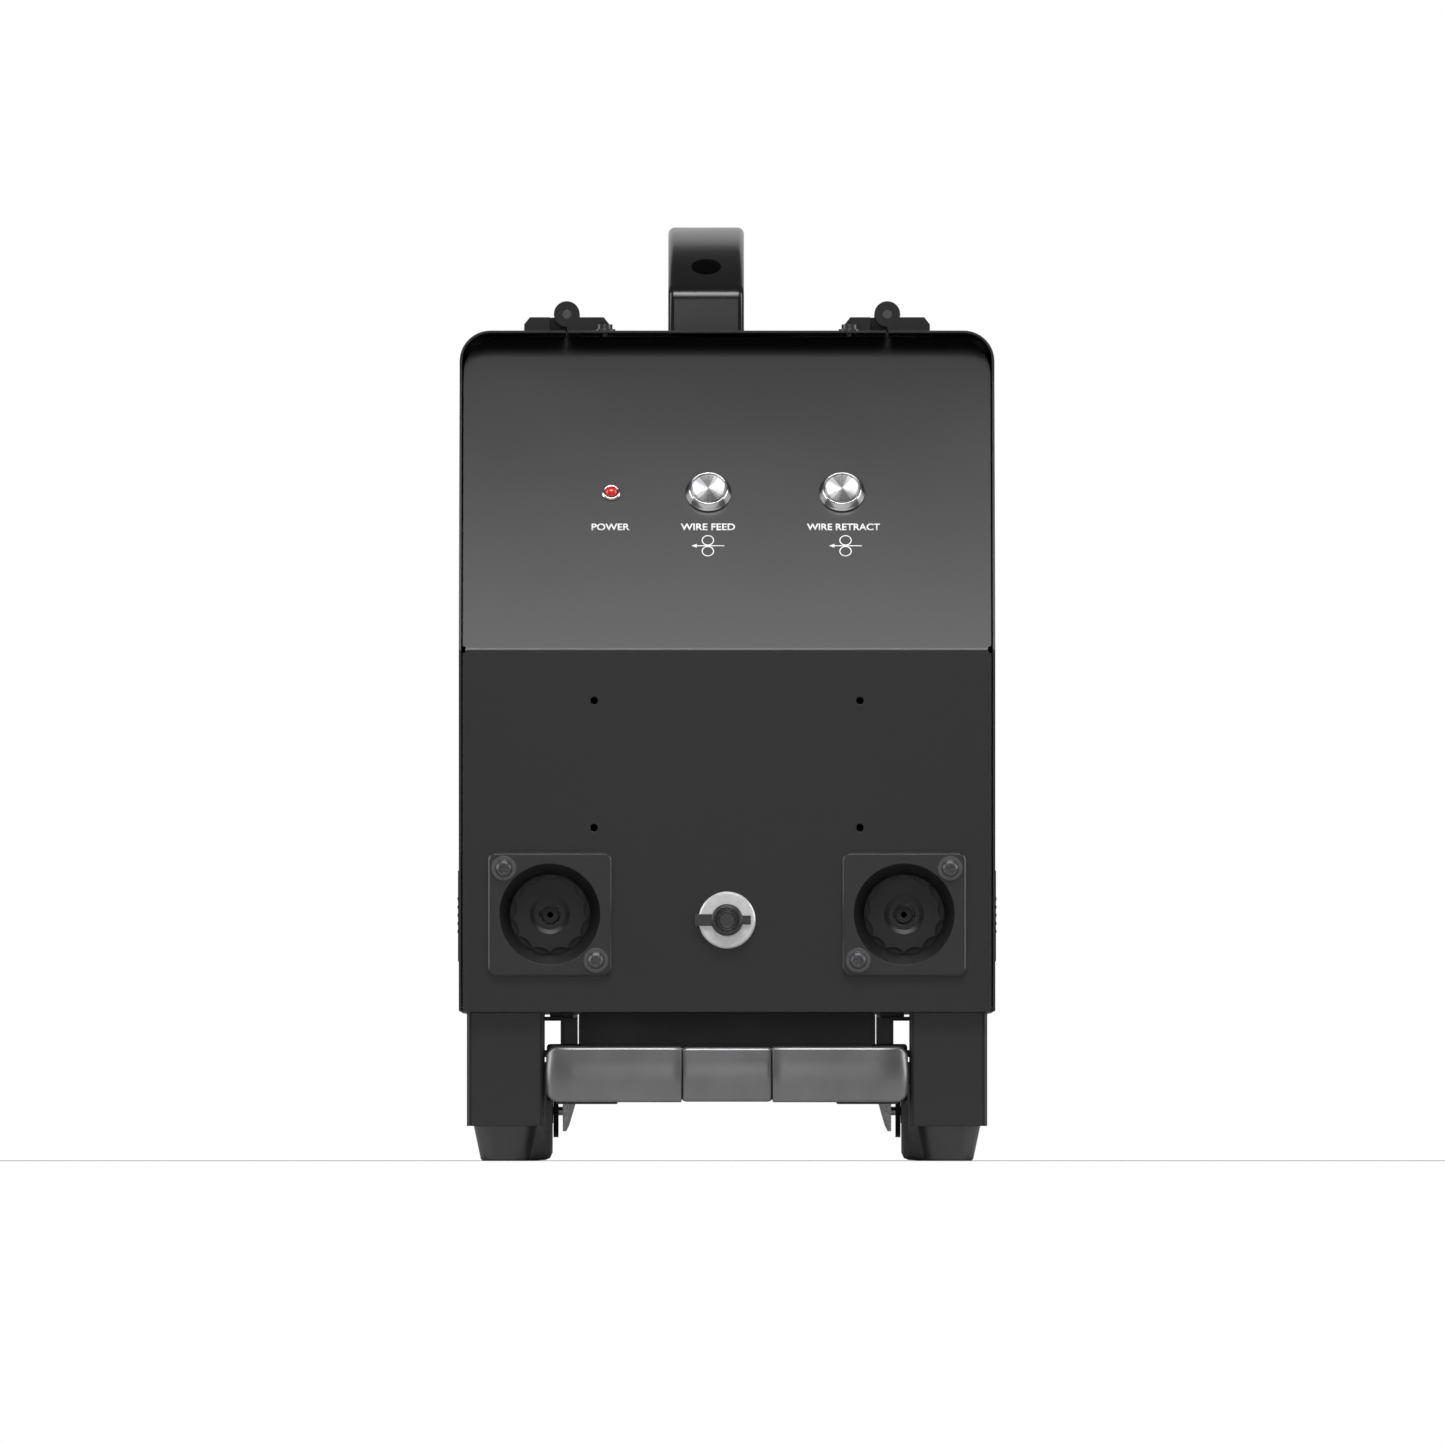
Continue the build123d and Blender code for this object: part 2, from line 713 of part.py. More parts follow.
stay_front = wheel_y - 14
stay_rear = wheel_y + 14
with BuildPart() as axle_stays:
    for side in (-1, 1):
        with BuildSketch(Plane.XZ.offset(-stay_rear)):
            with BuildLine():
                Polyline(
                    (side * 73.5, case_bottom),
                    (side * 78.4, case_bottom),
                    (side * 78.4, 55.0),
                    (side * 80.9, 33.0),
                    (side * 80.9, 14.5),
                    (side * 79.2, 14.5),
                    (side * 77.7, 17.5),
                    (side * 73.5, 32.0),
                    close=True,
                )
            make_face()
        extrude(amount=stay_rear - stay_front)
        rod_x(axle_radius + 0.02, sorted((side * 79.4, side * 82)), wheel_y, wheel_radius, Mode.SUBTRACT)
    front_edges = axle_stays.faces().sort_by(Axis.Y)[0:2].edges()
    flanks = [edge for edge in front_edges if 15 < edge.center().Z < 50 and abs(edge.center().X) < 77]
    chamfer(flanks, 2.0)
keep(axle_stays, "axle_stays")

wheel_half = 10.1
wheel_inner = wheel_x - wheel_half
wheel_outer = wheel_x + wheel_half
with BuildPart() as right_tyre:
    turned_x(
        [
            (wheel_inner + 0.5, 16.0),
            (wheel_outer - 0.5, 16.0),
            (wheel_outer, 20.5),
            (wheel_outer - 1.2, 23.2),
            (wheel_outer - 3.5, 24.2),
            (wheel_x, wheel_radius),
            (wheel_inner + 3.5, 24.2),
            (wheel_inner + 1.2, 23.2),
            (wheel_inner, 20.5),
        ],
        wheel_y,
        wheel_radius,
    )
keep_pair(right_tyre, "tyre")

with BuildPart() as right_wheel_hub:
    turned_x(
        [
            (wheel_inner - 0.3, axle_radius + running),
            (wheel_outer + 0.3, axle_radius + running),
            (wheel_outer + 0.3, 6.0),
            (wheel_x + 2.5, 7.5),
            (wheel_x + 2.5, 13.5),
            (wheel_outer - 0.5, 14.0),
            (wheel_outer - 0.5, 16.0),
            (wheel_inner + 0.5, 16.0),
            (wheel_inner + 0.5, 14.0),
            (wheel_x - 2.5, 13.5),
            (wheel_x - 2.5, 7.5),
            (wheel_inner - 0.3, 6.0),
        ],
        wheel_y,
        wheel_radius,
    )
keep_pair(right_wheel_hub, "wheel_hub")

# Cradle under the floor that carries the pull handle's tubes: two hat-shaped straps and a cross block
with BuildPart() as handle_cradle:
    for strap_y in (-190.0, 125.0):
        ends = (strap_y - 15, strap_y + 15)
        block((-80.8, 80.8), ends, (53.0, 54.2))
        for side in (-1, 1):
            block(sorted((side * 79.6, side * 80.8)), ends, (53.0, 69.9))
            block(sorted((side * 79.6, side * 99.0)), ends, (68.7, 69.9))
            rod_z(4.0, side * 94.0, strap_y, (69.9, case_bottom))
    for side in (-1, 1):
        block(sorted((side * 72.6, side * 80.0)), (-204, -176), (54.0, 69.5))
        block(sorted((side * 74.5, side * 86.0)), (-200, -180), (69.0, case_bottom))
keep(handle_cradle, "handle_cradle")

with BuildPart() as cradle_block:
    block((-72, 72), (-204, -176), (54.4, case_bottom))
    fillet(cradle_block.edges().filter_by(Axis.Y), 2.0)
keep(cradle_block, "cradle_block")

# Telescopic pull handle: fixed outer tubes, sliding inner tubes, grip and release button
tube_wall = 1.2
outer_w, outer_h = 7.0, 11.0
inner_w, inner_h = 5.4, 9.4
outer_ends = (-225.0, 170.0)
inner_ends = (grip_rear - 4.0, 150.0)
with BuildPart() as outer_tubes:
    for side in (-1, 1):
        centre = side * tube_x
        block((centre - outer_w, centre + outer_w), outer_ends, (tube_z - outer_h, tube_z + outer_h))
        block(
            (centre - outer_w + tube_wall, centre + outer_w - tube_wall),
            (outer_ends[0] - 1, outer_ends[1] + 1),
            (tube_z - outer_h + tube_wall, tube_z + outer_h - tube_wall),
            Mode.SUBTRACT,
        )
keep(outer_tubes, "outer_tubes")

with BuildPart() as inner_tubes:
    for side in (-1, 1):
        centre = side * tube_x
        block((centre - inner_w, centre + inner_w), inner_ends, (tube_z - inner_h, tube_z + inner_h))
        block(
            (centre - inner_w + tube_wall, centre + inner_w - tube_wall),
            (inner_ends[0] - 1, inner_ends[1] + 1),
            (tube_z - inner_h + tube_wall, tube_z + inner_h - tube_wall),
            Mode.SUBTRACT,
        )
keep(inner_tubes, "inner_tubes")

button_gap = 0.5
with BuildPart() as pull_handle:
    with BuildSketch(Plane.XZ.offset(-grip_rear)):
        with Locations((0, (grip_low + grip_high) / 2)):
            RectangleRounded(2 * grip_half, grip_high - grip_low, 5.5)
    extrude(amount=grip_rear - grip_front)
    fillet(pull_handle.faces().sort_by(Axis.Y)[0].edges(), 5.0)
    block(
        (-button_half - button_gap, button_half + button_gap),
        (grip_front - 1, grip_rear - 7),
        (grip_low - 1, grip_high + 1),
        Mode.SUBTRACT,
    )
    for side in (-1, 1):
        arm = sorted((side * 69.5, side * 87.5))
        block(arm, (grip_rear - 6, grip_rear + 9), (grip_low + 0.2, grip_high - 0.2))
        pocket = sorted((side * (tube_x - inner_w), side * (tube_x + inner_w)))
        block(pocket, (grip_rear - 4, grip_rear + 10), (tube_z - inner_h, tube_z + inner_h), Mode.SUBTRACT)
keep(pull_handle, "pull_handle")

with BuildPart() as release_button:
    with BuildSketch(Plane.YZ.offset(-button_half)):
        with Locations(((grip_front + grip_rear - 11) / 2, (grip_low + grip_high) / 2)):
            RectangleRounded(grip_rear - 11 - grip_front, grip_high - grip_low, 4.5)
    extrude(amount=2 * button_half)
keep(release_button, "release_button")

# Spools on fixed spindles, with the wound wire and a retaining nut
with BuildPart() as spool_spindles:
    for side in (-1, 1):
        turned_x(
            [
                (side * 1.0, 0),
                (side * 1.0, 42),
                (side * 5.0, 42),
                (side * 5.0, 31),
                (side * 12.6, 31),
                (side * 12.6, spool_bore - running),
                (side * 114.0, spool_bore - running),
                (side * 115.0, spool_bore - 1.0),
                (side * 115.0, 12.2),
                (side * 98.0, 12.2),
                (side * 98.0, 0),
            ],
            spool_y,
            spool_z,
        )
keep(spool_spindles, "spool_spindles")

with BuildPart() as spool_nuts:
    for side in (-1, 1):
        turned_x(
            [
                (side * 99.0, 0),
                (side * 99.0, 12.0),
                (side * 116.6, 12.0),
                (side * 116.6, 32.0),
                (side * 118.0, 33.5),
                (side * 121.0, 33.5),
                (side * 122.5, 31.0),
                (side * 122.5, 14.0),
                (side * 126.0, 12.0),
                (side * 126.0, 0),
            ],
            spool_y,
            spool_z,
        )
        nut_face = sorted((side * 122.0, side * 125.5))
        block(nut_face, (spool_y - 27, spool_y + 27), (spool_z - 4, spool_z + 4))
        block(nut_face, (spool_y - 4, spool_y + 4), (spool_z - 27, spool_z + 27))
keep(spool_nuts, "spool_nuts")

flange_wall = 3.0
drum_radius = 98.0
window_circle = 62.0
with BuildPart() as right_spool:
    for wall in (spool_inner, spool_outer - flange_wall):
        turned_x(
            [
                (wall, spool_bore),
                (wall, spool_radius),
                (wall + flange_wall, spool_radius),
                (wall + flange_wall, spool_bore),
            ],
            spool_y,
            spool_z,
        )
    for inner, outer in ((spool_bore, 31.0), (93.0, drum_radius)):
        turned_x(
            [
                (spool_inner + 1, inner),
                (spool_inner + 1, outer),
                (spool_outer - 1, outer),
                (spool_outer - 1, inner),
            ],
            spool_y,
            spool_z,
        )
    spool_side = Plane(origin=(spool_inner - 1, spool_y, spool_z), x_dir=(0, 1, 0), z_dir=(1, 0, 0))
    with BuildSketch(spool_side):
        with PolarLocations(window_circle, 6, start_angle=30):
            Circle(22)
        with PolarLocations(122, 3, start_angle=0):
            Circle(5)
    extrude(amount=spool_outer - spool_inner + 2, mode=Mode.SUBTRACT)
keep_pair(right_spool, "spool")

coil_radius = 130.0
with BuildPart() as right_wire_coil:
    turned_x(
        [
            (spool_inner + flange_wall, drum_radius),
            (spool_inner + flange_wall, coil_radius),
            (spool_outer - flange_wall, coil_radius),
            (spool_outer - flange_wall, drum_radius),
        ],
        spool_y,
        spool_z,
    )
keep_pair(right_wire_coil, "wire_coil")

# Feed units: a plate on a foot holds the gear motor, the driven roll below the wire and a hinged arm
# with the pressure roll above it
drive_z = outlet_height - roll_radius - roll_gap / 2
press_z = outlet_height + roll_radius + roll_gap / 2
pivot_y = -168.0
pivot_z = 141.0
pivot_radius = 3.0
with BuildPart() as feed_plates:
    for side in (-1, 1):
        plate = sorted((side * plate_inner, side * plate_outer))
        block(plate, (-178, -66), (73.5, 158))
        block(sorted((side * 36, side * plate_outer)), (-178, -156), (73.5, 78))
        block(sorted((side * 36, side * plate_outer)), (-92, -66), (73.5, 78))
        rod_x(shaft_radius + running, sorted((side * 60, side * 72)), roll_y, drive_z, Mode.SUBTRACT)
        rod_x(pivot_radius, sorted((side * 69, side * 80)), pivot_y, pivot_z)
        for bracket in ((-164, -154), (-98, -88)):
            block(sorted((side * 69, side * 91)), bracket, (outlet_height - 6.5, outlet_height + 6.5))
            rod_y(4.0, side * outlet_x, (bracket[0] - 1, bracket[1] + 1), outlet_height, Mode.SUBTRACT)
keep(feed_plates, "feed_plates")

with BuildPart() as gear_motors:
    for side in (-1, 1):
        block(sorted((side * 40, side * plate_inner)), (roll_y - 28, roll_y + 28), (80, 136))
        rod_x(25.0, sorted((side * 4, side * 40)), roll_y, 108)
        rod_x(shaft_radius + running, sorted((side * 50, side * 64)), roll_y, drive_z, Mode.SUBTRACT)
keep(gear_motors, "gear_motors")

with BuildPart() as wire_guides:
    for side in (-1, 1):
        for ends in ((-190, -143), (-107, -60)):
            rod_y(4.0, side * outlet_x, ends, outlet_height)
            rod_y(1.4, side * outlet_x, (ends[0] - 1, ends[1] + 1), outlet_height, Mode.SUBTRACT)
keep(wire_guides, "wire_guides")

roll_half = 5.0
groove = 0.9


def roll_section(bore):
    """Half section of a feed roll: (x, radius) with a V groove in the middle."""
    low, high = outlet_x - roll_half, outlet_x + roll_half
    return [
        (low, bore),
        (low, roll_radius),
        (outlet_x - groove, roll_radius),
        (outlet_x, roll_radius - groove),
        (outlet_x + groove, roll_radius),
        (high, roll_radius),
        (high, bore),
    ]


with BuildPart() as right_drive_roll:
    turned_x(roll_section(0), roll_y, drive_z)
    rod_x(shaft_radius, (52, outlet_x), roll_y, drive_z)
    rod_x(7.0, (outlet_x + roll_half, outlet_x + roll_half + 4), roll_y, drive_z)
keep_pair(right_drive_roll, "drive_roll")

arm_x = (73.0, 78.5)
tip_y = -76.0
knob_x = 84.5
knob_y = -82.0
with BuildPart() as right_pressure_arm:
    block(arm_x, (pivot_y, tip_y), (133.5, 148.5))
    rod_x(7.5, arm_x, pivot_y, pivot_z)
    rod_x(pivot_radius + running, (70, 82), pivot_y, pivot_z, Mode.SUBTRACT)
    block((73.0, 94.0), (tip_y - 14, tip_y), (138.5, 148.5))
    rod_x(shaft_radius, (78, outlet_x + roll_half + 0.6), roll_y, press_z)
    rod_x(6.0, (outlet_x + roll_half + 0.6, outlet_x + roll_half + 3.0), roll_y, press_z)
    rod_z(2.5 + running, knob_x, knob_y, (140, 150), Mode.SUBTRACT)
keep_pair(right_pressure_arm, "pressure_arm")

with BuildPart() as right_pressure_roll:
    turned_x(roll_section(shaft_radius + running), roll_y, press_z)
keep_pair(right_pressure_roll, "pressure_roll")

with BuildPart() as right_tension_knob:
    rod_z(2.5, knob_x, knob_y, (141, 156))
    with BuildSketch(Plane.XY.offset(149.2)):
        with Locations((knob_x, knob_y)):
            Circle(9.0)
        with Locations((knob_x, knob_y)):
            with PolarLocations(9.6, 12):
                Circle(1.4, mode=Mode.SUBTRACT)
    extrude(amount=24)
    fillet(right_tension_knob.faces().sort_by(Axis.Z)[-1].edges(), 0.8)
keep_pair(right_tension_knob, "tension_knob")

# Control board on stand-offs in the left bay
with BuildPart() as control_board:
    block((-8.6, -7.0), (-140, -62), (296, 376))
    for y, z in ((-134, 302), (-68, 302), (-134, 370), (-68, 370)):
        rod_x(3.0, (-7.0, -1.0), y, z)
    for x_low, y, z in (
        (-24, (-132, -104), (308, 330)),
        (-18, (-96, -70), (310, 322)),
        (-21, (-130, -112), (342, 364)),
        (-13, (-102, -82), (336, 352)),
    ):
        block((x_low, -8.6), y, z)
    for y in (-76, -90, -104):
        rod_x(5.0, (-26, -8.6), y, 364)
keep(control_board, "control_board")
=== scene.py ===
# Dual wire feeder on a small trolley: finishes, small parts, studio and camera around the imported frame
import json
import math
import random

import bmesh
import bpy
from mathutils import Matrix, Vector


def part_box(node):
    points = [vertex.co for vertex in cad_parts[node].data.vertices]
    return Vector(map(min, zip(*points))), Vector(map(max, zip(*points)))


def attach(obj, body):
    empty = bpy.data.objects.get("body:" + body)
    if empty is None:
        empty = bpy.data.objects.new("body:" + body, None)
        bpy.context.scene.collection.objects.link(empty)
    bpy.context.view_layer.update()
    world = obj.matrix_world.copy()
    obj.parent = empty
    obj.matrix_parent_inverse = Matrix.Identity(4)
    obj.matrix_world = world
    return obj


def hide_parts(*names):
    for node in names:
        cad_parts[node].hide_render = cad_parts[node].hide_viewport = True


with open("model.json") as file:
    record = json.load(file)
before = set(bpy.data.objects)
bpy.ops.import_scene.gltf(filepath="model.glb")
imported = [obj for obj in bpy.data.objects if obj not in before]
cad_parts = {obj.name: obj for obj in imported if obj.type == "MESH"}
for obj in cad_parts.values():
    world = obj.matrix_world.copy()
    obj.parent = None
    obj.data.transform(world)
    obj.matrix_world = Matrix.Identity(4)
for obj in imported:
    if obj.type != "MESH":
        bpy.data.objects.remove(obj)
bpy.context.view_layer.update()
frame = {"nodes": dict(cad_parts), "record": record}
print("frame loaded:", len(frame["nodes"]), "nodes")

mm = 0.001
tau = 2 * math.pi


# finishes

def blankFinish(name):
    finish = bpy.data.materials.new(name)
    finish.use_nodes = True
    tree = finish.node_tree
    tree.nodes.clear()
    shader = tree.nodes.new("ShaderNodeBsdfPrincipled")
    out = tree.nodes.new("ShaderNodeOutputMaterial")
    tree.links.new(shader.outputs["BSDF"], out.inputs["Surface"])
    return finish, tree, shader


def objectPlace(tree, stretch=(1, 1, 1)):
    # object coordinates in metres, stretched for brushed or drawn grain
    place = tree.nodes.new("ShaderNodeTexCoord")
    squeeze = tree.nodes.new("ShaderNodeMapping")
    squeeze.inputs["Scale"].default_value = stretch
    tree.links.new(place.outputs["Object"], squeeze.inputs["Vector"])
    return squeeze.outputs["Vector"]


def noiseAt(tree, vector, perMetre, detail=3.0, rough=0.55):
    noise = tree.nodes.new("ShaderNodeTexNoise")
    noise.inputs["Scale"].default_value = perMetre
    noise.inputs["Detail"].default_value = detail
    noise.inputs["Roughness"].default_value = rough
    tree.links.new(vector, noise.inputs["Vector"])
    return noise.outputs["Fac"]


def spread(tree, fac, low, high, fromLow=0.3, fromHigh=0.7):
    # maps a 0..1 pattern to the range low..high
    remap = tree.nodes.new("ShaderNodeMapRange")
    remap.inputs["From Min"].default_value = fromLow
    remap.inputs["From Max"].default_value = fromHigh
    remap.inputs["To Min"].default_value = low
    remap.inputs["To Max"].default_value = high
    tree.links.new(fac, remap.inputs["Value"])
    return remap.outputs["Result"]


def blendColours(tree, fac, first, second):
    mix = tree.nodes.new("ShaderNodeMix")
    mix.data_type = "RGBA"
    mix.inputs["A"].default_value = (*first, 1)
    mix.inputs["B"].default_value = (*second, 1)
    tree.links.new(fac, mix.inputs["Factor"])
    return mix.outputs["Result"]


def surfaceGrain(tree, shader, height, depth, strength, rounding):
    # rounding softens sharp sheet and moulding edges, then the fine grain sits on top
    bump = tree.nodes.new("ShaderNodeBump")
    bump.inputs["Strength"].default_value = strength
    bump.inputs["Distance"].default_value = depth
    tree.links.new(height, bump.inputs["Height"])
    if rounding:
        soften = tree.nodes.new("ShaderNodeBevel")
        soften.samples = 4
        soften.inputs["Radius"].default_value = rounding
        tree.links.new(soften.outputs["Normal"], bump.inputs["Normal"])
    tree.links.new(bump.outputs["Normal"], shader.inputs["Normal"])


def grainFinish(name, look):
    # one mottled colour pair, cloudy roughness and a fine raised grain
    finish, tree, shader = blankFinish(name)
    place = objectPlace(tree, look.get("stretch", (1, 1, 1)))
    clouds = noiseAt(tree, place, look["cloudScale"], 4.0)
    grain = noiseAt(tree, place, look["grainScale"], look.get("grainDetail", 2.0))
    tint = spread(tree, clouds, 0.0, 1.0)
    colour = blendColours(tree, tint, look["colour"], look["colourAlt"])
    tree.links.new(colour, shader.inputs["Base Color"])
    low, high = look["roughness"]
    roughMix = tree.nodes.new("ShaderNodeMath")
    roughMix.operation = "ADD"
    middle = (low + high) / 2
    tree.links.new(spread(tree, clouds, low, middle), roughMix.inputs[0])
    tree.links.new(spread(tree, grain, 0.0, high - middle), roughMix.inputs[1])
    tree.links.new(roughMix.outputs["Value"], shader.inputs["Roughness"])
    shader.inputs["Metallic"].default_value = look.get("metallic", 0.0)
    shader.inputs["Coat Weight"].default_value = look.get("coat", 0.0)
    shader.inputs["Coat Roughness"].default_value = look.get("coatRoughness", 0.1)
    shader.inputs["Specular IOR Level"].default_value = look.get("specular", 0.5)
    shader.inputs["Anisotropic"].default_value = look.get("anisotropic", 0.0)
    surfaceGrain(tree, shader, grain, look["grainDepth"], look.get("grainStrength", 0.5), look.get("rounding", 0))
    return finish


powderLook = {
    "colour": (0.0100, 0.0100, 0.0106),
    "colourAlt": (0.0125, 0.0125, 0.0132),
    "roughness": (0.33, 0.41),
    "cloudScale": 14,
    "grainScale": 1500,
    "grainDepth": 0.00003,
    "grainStrength": 0.35,
    "rounding": 0.0006,
}
mouldedLook = {
    "colour": (0.0060, 0.0060, 0.0064),
    "colourAlt": (0.0085, 0.0085, 0.0090),
    "roughness": (0.36, 0.46),
    "cloudScale": 40,
    "grainScale": 2600,
    "grainDepth": 0.00002,
    "grainStrength": 0.4,
    "rounding": 0.0004,
}
glossLook = {
    "colour": (0.0050, 0.0050, 0.0054),
    "colourAlt": (0.0070, 0.0070, 0.0075),
    "roughness": (0.22, 0.30),
    "cloudScale": 30,
    "grainScale": 900,
    "grainDepth": 0.00001,
    "grainStrength": 0.25,
    "rounding": 0.0005,
}
rubberLook = {
    "colour": (0.0060, 0.0060, 0.0063),
    "colourAlt": (0.0090, 0.0090, 0.0094),
    "roughness": (0.30, 0.40),
    "specular": 0.9,
    "cloudScale": 120,
    "grainScale": 3800,
    "grainDepth": 0.00003,
    "grainStrength": 0.5,
    "rounding": 0.0004,
}
treadLook = {
    "colour": (0.140, 0.140, 0.143),
    "colourAlt": (0.180, 0.180, 0.184),
    "roughness": (0.42, 0.58),
    "cloudScale": 90,
    "grainScale": 2400,
    "grainDepth": 0.00003,
    "rounding": 0.0004,
}
brightLook = {
    "colour": (0.78, 0.78, 0.79),
    "colourAlt": (0.70, 0.70, 0.71),
    "metallic": 1.0,
    "roughness": (0.07, 0.16),
    "cloudScale": 220,
    "grainScale": 2200,
    "grainDepth": 0.000004,
    "grainStrength": 0.2,
    "rounding": 0.0002,
}
darkSteelLook = {
    "colour": (0.085, 0.085, 0.090),
    "colourAlt": (0.130, 0.128, 0.130),
    "metallic": 0.85,
    "roughness": (0.26, 0.42),
    "cloudScale": 260,
    "grainScale": 2600,
    "grainDepth": 0.00001,
    "grainStrength": 0.3,
    "rounding": 0.0003,
}
zincLook = {
    "colour": (0.66, 0.67, 0.69),
    "colourAlt": (0.80, 0.80, 0.82),
    "metallic": 1.0,
    "roughness": (0.20, 0.36),
    "cloudScale": 160,
    "grainScale": 900,
    "grainDepth": 0.00001,
    "grainStrength": 0.25,
    "rounding": 0.0003,
}
drawnTubeLook = {
    "colour": (0.060, 0.060, 0.064),
    "colourAlt": (0.085, 0.085, 0.090),
    "metallic": 0.4,
    "roughness": (0.30, 0.42),
    "stretch": (1, 0.04, 1),
    "cloudScale": 300,
    "grainScale": 2600,
    "grainDepth": 0.00001,
    "grainStrength": 0.3,
    "rounding": 0.0004,
}
anodisedTubeLook = {
    "colour": (0.60, 0.61, 0.63),
    "colourAlt": (0.70, 0.71, 0.73),
    "metallic": 1.0,
    "roughness": (0.22, 0.34),
    "stretch": (1, 0.03, 1),
    "cloudScale": 300,
    "grainScale": 2400,
    "grainDepth": 0.00001,
    "grainStrength": 0.3,
    "anisotropic": 0.4,
    "rounding": 0.0004,
}
rollLook = {
    "colour": (0.48, 0.48, 0.50),
    "colourAlt": (0.60, 0.60, 0.62),
    "metallic": 1.0,
    "roughness": (0.16, 0.28),
    "stretch": (8, 1, 1),
    "cloudScale": 220,
    "grainScale": 1400,
    "grainDepth": 0.00001,
    "rounding": 0.0003,
}
motorLook = {
    "colour": (0.060, 0.062, 0.068),
    "colourAlt": (0.085, 0.087, 0.094),
    "roughness": (0.34, 0.48),
    "cloudScale": 90,
    "grainScale": 1600,
    "grainDepth": 0.00003,
    "rounding": 0.0006,
}
aluminiumLook = {
    "colour": (0.66, 0.67, 0.68),
    "colourAlt": (0.74, 0.75, 0.76),
    "metallic": 1.0,
    "roughness": (0.26, 0.40),
    "stretch": (1, 0.08, 1),
    "cloudScale": 260,
    "grainScale": 2200,
    "grainDepth": 0.00001,
    "rounding": 0.0004,
}
copperLook = {
    "colour": (0.74, 0.36, 0.20),
    "colourAlt": (0.84, 0.47, 0.28),
    "metallic": 1.0,
    "roughness": (0.20, 0.34),
    "cloudScale": 60,
    "grainScale": 1200,
    "grainDepth": 0.00001,
}
spoolLook = {
    "colour": (0.040, 0.041, 0.044),
    "colourAlt": (0.055, 0.056, 0.060),
    "roughness": (0.38, 0.52),
    "cloudScale": 50,
    "grainScale": 1600,
    "grainDepth": 0.00003,
    "rounding": 0.0005,
}
gripLook = {
    "colour": (0.195, 0.195, 0.200),
    "colourAlt": (0.225, 0.225, 0.230),
    "metallic": 0.75,
    "roughness": (0.30, 0.38),
    "cloudScale": 60,
    "grainScale": 3200,
    "grainDepth": 0.00001,
    "grainStrength": 0.25,
}
handleLook = {
    "colour": (0.0060, 0.0060, 0.0064),
    "colourAlt": (0.0080, 0.0080, 0.0085),
    "roughness": (0.20, 0.27),
    "cloudScale": 30,
    "grainScale": 1800,
    "grainDepth": 0.000008,
    "grainStrength": 0.25,
    "specular": 0.7,
}
plugRingLook = {
    "colour": (0.62, 0.62, 0.63),
    "colourAlt": (0.78, 0.78, 0.79),
    "metallic": 0.55,
    "roughness": (0.28, 0.42),
    "cloudScale": 200,
    "grainScale": 1500,
    "grainDepth": 0.00001,
    "rounding": 0.0003,
}
flangeLook = {
    "colour": (0.0135, 0.0135, 0.0142),
    "colourAlt": (0.0165, 0.0165, 0.0173),
    "roughness": (0.30, 0.38),
    "cloudScale": 40,
    "grainScale": 2600,
    "grainDepth": 0.00002,
    "grainStrength": 0.4,
    "rounding": 0.0007,
}
# near-black, dull finish for the screw bore walls: painted shade inside the recesses
paintedBoreShadeLook = {
    "colour": (0.0020, 0.0020, 0.0021),
    "colourAlt": (0.0028, 0.0028, 0.0030),
    "roughness": (0.75, 0.95),
    "cloudScale": 200,
    "grainScale": 3000,
    "grainDepth": 0.00003,
    "specular": 0.1,
}
printLook = {
    "colour": (0.78, 0.78, 0.78),
    "colourAlt": (0.86, 0.86, 0.86),
    "roughness": (0.42, 0.55),
    "cloudScale": 300,
    "grainScale": 2600,
    "grainDepth": 0.00001,
}


lensLook = {
    "colour": (0.90, 0.020, 0.012),
    "colourDeep": (0.62, 0.010, 0.008),
    "roughness": (0.16, 0.26),
    "coat": 0.8,
    "coatRoughness": 0.05,
    "pipScale": 1400,
    "pipDepth": 0.00004,
}


def lensFinish():
    # red moulded lens: deep colour with tiny optic pips under a clear gloss
    finish, tree, shader = blankFinish("redLens")
    place = objectPlace(tree)
    pips = tree.nodes.new("ShaderNodeTexVoronoi")
    pips.inputs["Scale"].default_value = lensLook["pipScale"]
    tree.links.new(place, pips.inputs["Vector"])
    depth = spread(tree, pips.outputs["Distance"], 0, 1, 0.1, 0.6)
    colour = blendColours(tree, depth, lensLook["colour"], lensLook["colourDeep"])
    tree.links.new(colour, shader.inputs["Base Color"])
    smooth, rough = lensLook["roughness"]
    tree.links.new(spread(tree, pips.outputs["Distance"], smooth, rough, 0.1, 0.6), shader.inputs["Roughness"])
    shader.inputs["Coat Weight"].default_value = lensLook["coat"]
    shader.inputs["Coat Roughness"].default_value = lensLook["coatRoughness"]
    surfaceGrain(tree, shader, pips.outputs["Distance"], lensLook["pipDepth"], 0.4, 0)
    return finish


# dark and light are the painted shade and painted highlight colours of the sunburst star on the spun caps
spunLook = {
    "dark": (0.14, 0.14, 0.143),
    "light": (0.62, 0.62, 0.63),
    "roughness": (0.24, 0.38),
    "anisotropic": 0.6,
    "arms": 2.0,
    "turn": 0.9,
    "paintedGlintStrength": 0.22,
    "ringScale": 9000,
}


